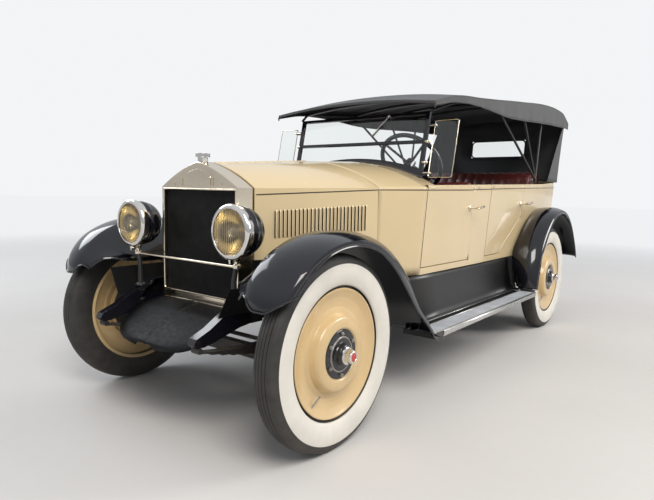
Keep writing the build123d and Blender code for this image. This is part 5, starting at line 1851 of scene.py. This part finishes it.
@dataclass
class BodySides:
    """Doors, tub and cowl with flush sides, and the trim that lies on them."""

    wall: float = 36.0
    pitch: float = 45.0
    handles: tuple[tuple[str, float, float], ...] = (("front_door", 50.0, 1006.0), ("rear_door", 985.0, 1030.0))
    studs: tuple[tuple[float, str], ...] = (
        (-440.0, "front_door"), (86.0, "front_door"), (160.0, "chassis"), (400.0, "rear_door"),
        (1010.0, "rear_door"), (1240.0, "chassis"), (1500.0, "chassis"))

    def chain(self, first: float, last: float) -> list[Pair]:
        """Points of the body's plan on the left, between two places along the car."""
        count = max(2, int((last - first) / self.pitch))
        places = [first + (last - first) * k / count for k in range(count + 1)]
        return [(lerp_table(PLAN, y), y) for y in places]

    def shell(self, form: Form, chain: Sequence[Pair], low: Callable[[float], float],
              high: Callable[[float], float], roll: float = 9.0) -> None:
        """Add a stretch of hollow wall with a rolled top edge.

        Args:
            form: the form to add to.
            chain: its plan, going round the car from the left front.
            low: height of its lower edge at a place along the car.
            high: height of its top edge.
            roll: radius of the rolled edge.
        """
        rows = []
        for i, (x, y) in enumerate(chain):
            (ax, ay), (bx, by) = chain[max(i - 1, 0)], chain[min(i + 1, len(chain) - 1)]
            out = Vector((by - ay, ax - bx)).normalized()
            z0, z1 = low(y), high(y)
            steps = [(0.0, z0 + (z1 - roll - z0) * k / 12) for k in range(13)]
            steps += [(roll * (math.cos(math.radians(a)) - 1), z1 - roll + roll * math.sin(math.radians(a)))
                      for a in (30, 60, 90)]
            steps += [(-self.wall + 6, z1), (-self.wall, z1 - 6)]
            steps += [(-self.wall, z1 - 8 + (z0 - z1 + 8) * k / 5) for k in range(1, 6)]
            row = []
            for shift, z in steps:
                shift -= TUCK * max(0.0, (BELT_Z - z) / (BELT_Z - SILL_Z))
                row.append((x + out.x * shift, y + out.y * shift, z))
            rows.append(row)
        form.grid(rows, wrap_columns=True, paint=[0] * 17 + [1] * 5 + [0])
        # The end faces take the black lining: painted shade in the gaps at the doors' edges and the tub's.
        form.cap(rows, 1)

    def doors(self) -> None:
        """The four doors, each with a thin lap over its gap on the latch side and along its slanted edge."""
        for end, first, last, low in (("front", -499.5, 116.5, level(672.0)),
                                      ("rear", 375.0, 1035.0, raised(672.0, 648.0, 256, 387))):
            form = Form()
            self.shell(form, self.chain(first, last), low, self.top_edge)
            lap = Form()
            rows = []
            for k, proud in enumerate((-0.6, 0.5, 1.1, 1.3, -1.5)):
                y = last - 30.0 + 39.0 * k / 4
                floor, top = low(min(y, last)) - 6.0, self.top_edge(y) - 9.0
                heights = [floor + (top - floor) * j / 10 for j in range(11)]
                rows.append([(side_x(y, z) + proud, y, z) for z in heights])
            lap.grid(rows)
            if end == "rear":
                along, climb = 0.55, 0.83
                steps = ((18.0, -0.6), (10.0, 0.6), (3.0, 1.2), (-5.0, 1.3), (-9.0, -1.5))
                rows = []
                for y in (648.0, 700.0, 800.0, 900.0, 1000.0, 1035.0):
                    row = [(y - up * along, low(y) + up * climb, proud) for up, proud in steps]
                    rows.append([(side_x(at, z) + proud, at, z) for at, z, proud in row])
                lap.grid(rows)
            door = f"{end}_door"
            on_each_side(lap, f"{door}_lap_{{}}", door, (CREAM,), "cream_enamel", wall=1.0, angle=60)
            on_each_side(form, f"{door}_{{}}_panel", door, (CREAM, LINING), "cream_enamel", f"door_{end}",
                         bevel=1.2)

    def top_edge(self, y: float) -> float:
        """Height of the body's top edge."""
        return lerp_table(TOP_EDGE, y)

    def tub(self) -> None:
        """Sills, pillars and the rounded tail."""
        form = Form()
        sill = level(SILL_Z)
        self.shell(form, self.chain(-504.5, 119.0), sill, level(667.0), 3.0)
        self.shell(form, self.chain(119.0, 370.0), sill, self.top_edge)
        self.shell(form, self.chain(370.0, 1040.0), sill, raised(667.0, 651.0, 257, 389), 3.0)
        form.take(form.mirrored())
        bend = eased([(lerp_table(PLAN, 1900.0), 1900.0), (618, 1960), (540, 2110), (380, 2148), (0, 2150)],
                     70.0, 6)
        left = self.chain(1040.0, 1880.0) + bend
        self.shell(form, across(left), sill, self.top_edge)
        form.piece("body_shell", "chassis", (CREAM, LINING), "cream_enamel", ("body_tub",))

    def cowl(self) -> None:
        """Cowl, scuttle, front posts and bulkhead."""
        form = Form()
        rows = []
        for t in (k / 12 for k in range(13)):
            y = -800 + 295.5 * t
            half, crease, tuck = 505 + 132 * t, 1114 + 11 * t, 10 + 24 * t
            crown = arc((half, crease), (268 + 62 * t, 1222 + 21 * t), (0, 1262 + 14 * t), 16)
            side = [(half - tuck * (1 - j / 9), 630 + (crease - 630) * j / 9) for j in range(9)]
            chain = side[:-1] + eased([side[-1], (half, crease), crown[1]], 12.0, 5) + crown[2:]
            rows.append(across([(x, y, z) for x, z in chain]))
        form.grid(rows)
        form.piece("cowl_sheet", "chassis", (CREAM,), "cream_enamel", ("cowl",), wall=4.0, angle=50)
        inner = Form()
        rows = []
        for t in (k / 6 for k in range(7)):
            y = -506 + 214 * t
            crown = arc((592 - 30 * t, 1144 + 3 * t), (320 - 20 * t, 1243 + 2 * t), (0, 1275.5 + 1.5 * t), 16)
            chain = [(600 - 32 * t, 1118.0), (598 - 32 * t, 1134.0)] + crown
            rows.append(across([(x, y, z) for x, z in chain]))
        inner.grid(rows)
        inner.piece("scuttle_sheet", "chassis", (CREAM,), "cream_enamel", wall=4.0, angle=50)
        posts = Form()
        for side in Side:
            corners = ((552, 630), (590, 630), (623, 1118), (575, 1140), (562, 1112))
            posts.prism([(side.value * x, -505, z) for x, z in corners], (0, -24, 0), 1)
        wall = [(-497, 1100), (-493, 630), (493, 630), (497, 1100), (300, 1190), (0, 1240), (-300, 1190)]
        posts.prism([(x, -800, z) for x, z in wall], (0, 6, 0), 1)
        posts.piece("cowl_posts", "chassis", (CREAM, SATIN), "cream_enamel", bevel=1.0)

    def belt(self, name: str, body: str, span: Pair, half: Callable[[float, float], float]) -> Object:
        """Thin raised line along a panel of the left side.

        Args:
            name: name of the piece.
            body: the body that it rides on.
            span: first and last place along the car.
            half: half width of the panel at a place and height.

        Returns:
            The piece.
        """
        count = max(2, int((span[1] - span[0]) / 60))
        section = ((-1, -3.2), (0.9, -2.6), (1.5, 0), (0.9, 2.6), (-1, 3.2))
        form = Form()
        rows = []
        for k in range(count + 1):
            y = span[0] + (span[1] - span[0]) * k / count
            z = lerp_table(BELT_LINE, y)
            x = half(y, z)
            rows.append([(x + dx, y, z + dz) for dx, dz in section])
        form.grid(rows, wrap_columns=True)
        form.cap(rows)
        return form.piece(name, body, (LINE,), "black_enamel", angle=50)

    def lines(self) -> None:
        """Belt line on every panel of both sides and round the tail."""
        bonnet = Bonnet()
        runs = (("bonnet", "bonnet_lid", (-1484.0, -808.0), lambda y, z: bonnet.side(y)),
                ("cowl", "chassis", (-797.0, -507.0), side_x),
                ("front_door", "front_door", (-497.0, 114.0), side_x),
                ("pillar", "chassis", (123.0, 368.0), side_x),
                ("rear_door", "rear_door", (377.0, 1033.0), side_x),
                ("quarter", "chassis", (1042.0, 1960.0), side_x))
        for name, body, span, half in runs:
            left = self.belt(f"belt_{name}_left", Side.LEFT.of(body), span, half)
            fix(twin_of(left, f"belt_{name}_right"), Side.RIGHT.of(body))
        tail = Form()
        tail.tube(across([(x, y, lerp_table(BELT_LINE, y)) for x, y in TAIL]), 1.9, 8)
        tail.piece("belt_tail", "chassis", (LINE,), "black_enamel")

    def handle(self, y: float, z: float) -> Form:
        """Plated door handle: rose, shank and a grip that points back.

        Args:
            y: its place along the car.
            z: its height.

        Returns:
            Its form on the left side.
        """
        x = side_x(y, z)
        form = Form()
        form.lathe(eased([(-1, 19), (3, 19), (6, 16), (8, 11), (9, 9), (9, 0)], 1.5), (x, y, z), LEFTWARDS, 32)
        form.tube([(x + 6, y, z), (x + 30, y, z), (x + 52, y, z), (x + 62, y + 2, z)], [8.5, 7.0, 7.6, 8.4], 14)
        grip = ((62, -14, -2), (62, -10, -2), (62, 10, 0), (62, 50, 5), (61, 80, 9), (60, 90, 10))
        form.tube([(x + dx, y + dy, z + dz) for dx, dy, dz in grip], [4.0, 8.6, 9.0, 8.2, 9.2, 4.5], 14,
                  flat=0.8)
        return form

    def fittings(self) -> None:
        """Door handles and the studs that the side curtains button on."""
        for body, y, z in self.handles:
            on_each_side(self.handle(y, z), f"{body}_handle_{{}}", body, (NICKEL,), "nickel")
        for k, (y, body) in enumerate(self.studs):
            z = lerp_table(BELT_LINE, y) + 14
            stud = Form()
            knob = eased([(-1, 6.5), (1.5, 6.5), (3, 4), (6, 3.2), (8.5, 4.4), (9.5, 0)], 0.8, 2)
            stud.lathe(knob, (side_x(y, z), y, z), LEFTWARDS, 16)
            on_each_side(stud, f"stud_{k}_{{}}", body, (NICKEL,), "nickel")

    def build(self) -> None:
        """Make panels, lines and fittings."""
        self.doors()
        self.tub()
        self.cowl()
        self.lines()
        self.fittings()


@dataclass
class TopCloth:
    """Cloth top stretched over the bows: roof with side valances, rear curtain and its window."""

    stations: tuple[tuple[float, ...], ...] = (  # y, half width, edge z, crown z, valance bottom z
        (-392.0, 604.0, 1612.0, 1650.0, 1590.0), (-140.0, 616.0, 1679.0, 1722.0, 1640.0),
        (202.0, 626.0, 1712.0, 1765.0, 1655.0), (700.0, 632.0, 1762.0, 1825.0, 1645.0),
        (1500.0, 638.0, 1842.0, 1905.0, 1690.0), (2000.0, 642.0, 1838.0, 1895.0, 1712.0),
        (2190.0, 644.0, 1770.0, 1815.0, 1716.0))
    bows: tuple[float, ...] = (-392.0, -100.0, 520.0, 1060.0, 1560.0, 2040.0)
    sag: float = 7.0
    window: tuple[float, float, float, float] = (270.0, 1548.0, 82.5, 40.0)

    def slack(self, y: float) -> float:
        """How far the cloth hangs below the bows' line at a place along the car."""
        for a, b in zip(self.bows, self.bows[1:]):
            if a <= y <= b:
                return self.sag * math.sin(math.pi * (y - a) / (b - a)) ** 2
        return 0.0

    def section(self, y: float) -> list[Point]:
        """Cloth line across the car.

        Args:
            y: its place along the car.

        Returns:
            Points from the left valance's hem to the right one's.
        """
        half, edge, crown, low = blend_table(self.stations, y)
        reach = half - 4
        left: list[Point] = []
        ripple = 2.2 * math.sin(y / 63.0) + 1.4 * math.sin(y / 27.0 + 1.0)
        for t in (0.0, 0.12, 0.35, 0.6, 0.8, 0.93):
            z = low + (edge - low) * t
            left.append((half - 0.5 + ripple * (1 - t) ** 1.5, y, z))
        for t in (0.12, 0.45, 0.8):
            a = math.pi / 2 * t
            left.append((half - 7 + 7 * math.cos(a), y, edge - 6 + 7 * math.sin(a)))
        for k in range(1, 19):
            x = reach * (1 - k / 18)
            z = edge + (crown - edge) * (1 - (x / reach) ** 2.2)
            fall = self.slack(y) * (1 - (x / reach) ** 4)
            left.append((x, y, z - fall))
        return across(left)

    def roof(self) -> None:
        """The roof and valances, one sheet, with its hem and piping."""
        first, last = self.stations[0][0], self.stations[-1][0]
        keys = [first + (last - first) * k / 96 for k in range(97)]
        rows = [self.section(y) for y in keys]
        nose = [(x, y - 2, z - 14) for x, y, z in rows[0]]
        hem_z = self.stations[-1][-1]
        turned = [(x, y + 4, z - 8) for x, y, z in rows[-1]]
        drop = [(x, y + 6, max(z - 40.0, hem_z)) for x, y, z in rows[-1]]
        whole = [nose, *rows, turned, drop]
        form = Form()
        form.grid(whole)
        roof = form.piece("top_roof", "chassis", (TOP_CLOTH,), "cloth", ("top_cover",), wall=2.2, angle=80)
        hem = Form()
        for side in (0, -1):
            hem.tube([row[side] for row in rows], 3.4, 6)
        hem.tube(nose, 4.5, 8)
        hem.piece("top_hem", "chassis", (BINDING,), "cloth")
        seam = Form()
        for side in (7, -8):
            seam.tube([row[side] for row in rows], 2.4, 6)
        seam.tube(rows[-1], 2.4, 6)
        seam.piece("top_piping", "chassis", (BINDING,), "cloth")

    def curtain(self) -> None:
        """Rear curtain with its window and quarters, from the body's edge up to the roof."""
        half_w, mid_z, half_h, corner_r = self.window
        half, low_z, high_z = 629.0, 1227.0, 1742.0
        front_y, low_y, high_y = 1712.0, 2118.0, 2176.0
        levels = [1222, 1260, 1310, 1370, 1425, mid_z - half_h, 1500, mid_z, 1600, mid_z + half_h, 1670, 1705,
                  1744]
        rows = []
        for z in levels:
            t = (z - low_z) / (high_z - low_z)
            front, back, corner = front_y + 388 * t, low_y + 58 * t, 130 - 70 * t
            swell = 7.0 * math.sin(math.pi * min(max(t, 0), 1))
            chain = [(half, front + (back - corner - front) * k / 5) for k in range(6)]
            bend = [math.radians(a) for a in (15, 30, 45, 60, 75, 90)]
            chain += [(half - corner + corner * math.cos(a), back - corner + corner * math.sin(a))
                      for a in bend]
            chain += [(x, back + 1) for x in ((half_w + half - corner) / 2, half_w, half_w / 2, 0.0)]
            chain = [(x - (swell * 0.5 if x > 620 else 0), y + (swell if x < 300 else swell * 0.4))
                     for x, y in chain]
            rows.append(across([(x, y, float(z)) for x, y in chain]))
        _, edge, crown, _ = blend_table(self.stations, high_y)
        under_roof = []
        for x, y, _ in rows[-1]:
            roof_z = edge + (crown - edge) * (1 - min(abs(x) / 640.0, 1.0) ** 2.2) - 3
            under_roof.append((x, y, 1744.0 if y < 2050 else max(1746.0, roof_z)))
        rows.append(under_roof)
        levels.append(1760)
        n = len(rows[0])
        faces = []
        for i, (z, above) in enumerate(zip(levels, levels[1:])):
            at_window = z >= mid_z - half_h - 0.1 and above <= mid_z + half_h + 0.1
            for j in range(n - 1):
                if at_window and abs(rows[i][j][0] + rows[i][j + 1][0]) / 2 < half_w:
                    continue
                faces.append((i * n + j, i * n + j + 1, (i + 1) * n + j + 1, (i + 1) * n + j))
        form = Form()
        form.add([p for row in rows for p in row], faces)
        cloth = form.piece("rear_curtain_cloth", "chassis", (TOP_CLOTH,), "cloth", ("rear_curtain",), wall=2.0,
                           angle=80)
        back_y = lerp_table(((low_z, low_y), (high_z, high_y)), mid_z) + 8
        lean = (high_y - low_y) / (high_z - low_z)
        reach, rise = half_w - corner_r, half_h - corner_r
        ring = [(x, back_y + z * lean, mid_z + z)
                for x, z in rounded((-reach, -rise), (reach, rise), corner_r, 6)]
        rim = Form()
        rim.tube(ring, 8.0, 8, closed=True, flat=0.45)
        rim.piece("rear_window_frame", "chassis", (SATIN,), "black_enamel")
        pane = Form()
        pane.prism(ring, (0, 2.5, 0))
        pane.piece("rear_window_glass", "chassis", (GLASS,), "glass")
        seam = Form()
        side = [row[0] for row in rows]
        for path in (side, [(-x, y, z) for x, y, z in side], rows[0]):
            seam.tube(path, 3.0, 6)
        seam.piece("rear_curtain_hem", "chassis", (BINDING,), "cloth")

    def build(self) -> None:
        """Make the top."""
        self.roof()
        self.curtain()


def puff(obj: Object, voxel: float, cap: float) -> None:
    """Swell a pad with a short cloth simulation under pressure, and keep the result in its mesh.

    Args:
        obj: the pad.
        voxel: size of its even faces, in metres.
        cap: how far a point may move, in metres.
    """
    scene = bpy.context.scene
    grid = obj.modifiers.new("grid", "REMESH")
    grid.mode = "VOXEL"
    grid.voxel_size = voxel
    graph = bpy.context.evaluated_depsgraph_get()
    even = bpy.data.meshes.new_from_object(obj.evaluated_get(graph), depsgraph=graph)
    finishes = list(obj.data.materials)
    obj.modifiers.remove(grid)
    obj.data = even
    even.materials.clear()
    for finish in finishes:
        even.materials.append(finish)
    even.shade_smooth()
    cloth = obj.modifiers.new("cloth", "CLOTH")
    cloth.settings.use_pressure = True
    cloth.settings.uniform_pressure_force = 4.0
    cloth.settings.effector_weights.gravity = 0.0
    cloth.settings.quality = 4
    frames = 20
    cloth.point_cache.frame_start, cloth.point_cache.frame_end = 1, frames
    for number in range(1, frames + 1):
        scene.frame_set(number)
    graph = bpy.context.evaluated_depsgraph_get()
    swollen = obj.evaluated_get(graph).data
    moved = [v.co.copy() for v in swollen.vertices]
    obj.modifiers.remove(cloth)
    scene.frame_set(1)
    for vertex, target in zip(obj.data.vertices, moved):
        step = target - vertex.co
        vertex.co += step if step.length <= cap else step.normalized() * cap


@dataclass
class Seats:
    """Bench seats of pleated leather: cushion and back as stuffed pads on a plain base."""

    half: float = 548.0
    inset: float = 8.0
    shoulder: float = 0.06
    round_end: float = 26.0
    pitch: float = 88.0
    depth: float = 11.0
    voxel: float = 0.0108
    swell: float = 0.024

    def pad(self, name: str, outline: Sequence[Pair], node: str, facing: Vector) -> Object:
        """One stuffed pad from its side outline.

        Args:
            name: its name.
            outline: pairs of y and z.
            node: the CAD node that it stands for, if any.
            facing: the side that carries the pleats.

        Returns:
            The pad.
        """
        smooth = eased([*outline, outline[0]], 22.0, 4)[:-1]
        middle = Vector((sum(p[0] for p in smooth), sum(p[1] for p in smooth))) / len(smooth)
        rows = []
        for s in (-1.0, -0.985, -0.94, -0.5, 0.0, 0.5, 0.94, 0.985, 1.0):
            near = min((1.0 - abs(s)) / self.shoulder, 1.0)
            shrink = self.round_end * (1 - math.sqrt(max(0.0, 1 - (1 - near) ** 2)))
            row = []
            for y, z in smooth:
                away = Vector((y, z)) - middle
                away = away.normalized() * max(away.length - shrink - self.inset, 5.0)
                row.append((s * (self.half - self.inset), middle.x + away.x, middle.y + away.y))
            rows.append(row)
        form = Form()
        form.grid(rows, wrap_columns=True)
        form.cap(rows)
        obj = linked(name, form.mesh(name, (OXBLOOD,), 80))
        puff(obj, self.voxel, self.swell)
        self.sew(obj, facing)
        subdivide(obj, 1)
        fix(obj, "chassis", (node,) if node else ())
        return obj

    def sew(self, obj: Object, facing: Vector) -> None:
        """Draw pleats into the side of a pad that faces a direction.

        Args:
            obj: the pad.
            facing: that direction.
        """
        mesh = obj.data
        normals = [v.normal.copy() for v in mesh.vertices]
        for vertex, normal in zip(mesh.vertices, normals):
            share = min(max(normal.dot(facing) * 1.6 + 0.1, 0.0), 1.0)
            wave = abs(math.sin(math.pi * (vertex.co.x / MM + self.pitch / 2) / self.pitch))
            valley = (1 - wave ** 0.45) * self.depth
            vertex.co -= normal * (share * valley * MM)

    def build(self) -> None:
        """Front and rear bench."""
        sat_on, leant_on = Vector((0, -0.3, 0.95)), Vector((0, -0.75, 0.66))
        for name, node, facing, outline in (
                ("front_cushion", "front_seat", sat_on,
                 [(-112, 812), (-114, 905), (-80, 928), (150, 920), (262, 912), (262, 800)]),
                ("front_back", "", leant_on,
                 [(240, 905), (282, 1162), (314, 1206), (350, 1208), (384, 1178), (362, 900), (352, 700),
                  (262, 700)]),
                ("rear_cushion", "rear_seat", sat_on,
                 [(1218, 812), (1216, 905), (1250, 928), (1500, 920), (1672, 912), (1672, 800)]),
                ("rear_back", "", leant_on,
                 [(1648, 905), (1726, 1270), (1764, 1328), (1806, 1336), (1858, 1298), (1822, 900),
                  (1796, 760), (1690, 760)])):
            self.pad(name, outline, node, facing)
        base = Form()
        base.block((-545, -68, 649), (545, 348, 802))
        base.block((-545, 1262, 720), (545, 1788, 802))
        base.piece("seat_bases", "chassis", (OXBLOOD,), "leather", bevel=6.0)


@dataclass
class Screen:
    """Windscreen details in the glass's raked plane: rubber strips, wiper, wing frames and clamps."""

    origin: Point = (0.0, -315.0, 1255.0)
    normal: Point = (0.0, -314.0, 68.0)

    def at(self, u: float, v: float, out: float = 0.0) -> Point:
        """A point of the raked plane: across, up and forward of it."""
        n = Vector(self.normal).normalized()
        up = n.cross(Vector((1, 0, 0)))
        up = up if up.z > 0 else -up
        return tuple(Vector(self.origin) + Vector((u, 0, 0)) + up * v + n * out)

    def wings(self) -> None:
        """Bright edge round each wing glass and the two clamps that hold it."""
        form = Form()
        form.tube([self.at(u, v) for u, v in rounded((555, -56), (676, 258), 14, 4)], 2.8, 8, closed=True)
        for v in (-45.0, 245.0):
            form.tube([self.at(506, v, 2), self.at(541, v, 2), self.at(556, v, 2)], [6, 6, 4], 10)
            form.lathe(eased([(-8, 8), (8, 8), (11, 5), (11, 0)], 1.5), self.at(548, v), self.normal, 16)
        on_both_sides(form, "wing_frames", (NICKEL,), "nickel")

    def wiper(self) -> None:
        """Hand wiper on the upper pane, its blade hanging to the left."""
        form = Form()
        top, low = self.at(222, 318, 15), self.at(108, 196, 13)
        form.lathe(eased([(-14, 6), (16, 6), (19, 9), (25, 9), (27, 0)], 1.0), self.at(222, 318), self.normal,
                   16)
        form.tube([top, tuple((Vector(top) + Vector(low)) / 2 + Vector((0, -4, 0))), low], 2.4, 8)
        form.piece("wiper_arm", "chassis", (CHROME,), "nickel")
        blade = Form()
        blade.tube([self.at(176, 262, 8), self.at(108, 190, 8)], 4.0, 6)
        blade.piece("wiper_blade", "chassis", (MAT,), "black_enamel")

    def strips(self) -> None:
        """Rubber between the two panes and along the scuttle, and the side clamps."""
        form = Form()
        form.tube([self.at(-470, 147), self.at(470, 147)], 5.0, 8)
        sweep = ((-500.0, -72.0), (-250.0, 5.0), (0.0, 31.0), (250.0, 5.0), (500.0, -72.0))
        form.tube([self.at(u, blend_table(sweep, u)[0], 8) for u in range(-500, 501, 50)], 8.0, 8)
        form.piece("screen_rubber", "chassis", (MAT,), "black_enamel")
        knobs = Form()
        for v in (147.0, 20.0):
            knobs.lathe(eased([(-4, 12), (14, 12), (18, 8), (26, 8), (28, 0)], 1.5), self.at(496, v),
                        LEFTWARDS, 24)
        on_both_sides(knobs, "screen_knobs", (NICKEL,), "nickel")

    def build(self) -> None:
        """Make the details."""
        self.wings()
        self.wiper()
        self.strips()


@dataclass
class LampBar:
    """Thin bright bar between the lamps, brackets under them and black posts from the frame."""

    rail: float = 346.0
    x: float = 363.0
    y: float = -1672.0
    z: float = 762.0

    def build(self) -> None:
        """Make bar, brackets and posts."""
        bar = Form()
        bar.tube([(-self.x, self.y, self.z), (self.x, self.y, self.z)], 6.0, 12)
        stand = [(758, 16), (772, 16), (776, 11), (786, 12), (798, 20), (812, 26), (818, 26), (818, 0)]
        nut = [(752, 0), (752, 9), (758, 9), (758, 12)]
        for side in Side:
            foot = (side.value * self.x, self.y, 0)
            bar.lathe(eased(stand, 2.0), foot, UP, 24)
            bar.lathe(eased(nut, 1.0), foot, UP, 6)
        bar.piece("lamp_bar_plated", "chassis", (NICKEL,), "nickel", ("lamp_bar",))
        posts = Form()
        for side in Side:
            path = ((self.rail, 604), (self.rail, 700), (self.rail + 10, 748), (self.x, 764))
            posts.tube([(side.value * x, self.y, z) for x, z in path], [15, 12, 11, 12], 16)
            posts.lathe(eased([(600, 26), (608, 26), (616, 15)], 3.0), (side.value * self.rail, self.y, 0), UP,
                        24)
        posts.piece("lamp_posts", "chassis", (SATIN,), "black_enamel")


@dataclass
class TailLamp:
    """Red glass in a plated rim on the tail lamp's drum."""

    centre: Point = (505.0, 2232.0, 690.0)

    def build(self) -> None:
        """Make rim and glass."""
        lamp = Form()
        lamp.lathe([(-6, 44.6), (2, 44.6), (5, 42), (5, 37), (2, 36)], self.centre, REARWARDS, 48, 0)
        lamp.lathe([(0.5, 36.5), (3, 36), (6, 30), (8.5, 20), (9.5, 0)], self.centre, REARWARDS, 48, 1)
        lamp.piece("tail_lamp_glass", "chassis", (NICKEL, RED), "lens")


def wheels() -> list[WheelSet]:
    """The road wheels and the spare.

    Returns:
        All five, ready to build.
    """
    made = []
    for end, y in (("front", FRONT_Y), ("rear", REAR_Y)):
        for side in Side:
            made.append(WheelSet(side.of(end), (side.value * HALF_TRACK, y, AXLE_Z), (side.value, 0, 0),
                                 side.of(f"{end}_wheel"), (side.of(f"tyre_{end}"), side.of(f"wheel_{end}"))))
    made.append(WheelSet("spare_set", (0, 2268.0, 800.0), (0, 1, 0), "chassis", ("spare_tyre", "spare_wheel"),
                         spare=True))
    return made


def main() -> None:
    """Build the car's pieces in order, then the studio round it."""
    logging.basicConfig(level=logging.INFO, format="%(message)s")
    Studio().build()
    Carried().build()
    log.info("carried-over nodes dressed")
    for wheel in wheels():
        wheel.build()
        log.info("wheel %s made", wheel.name)
    for fender in fenders():
        fender.build()
        log.info("%s made", fender.name)
    for assembly in (Headlamps(), LampBar(), TailLamp(), Radiator(), Aprons(), Bonnet(), RunningBoards(),
                     BodySides(), TopCloth(), Seats(), Screen()):
        assembly.build()
        log.info("%s made", type(assembly).__name__)


if __name__ == "__main__":
    main()
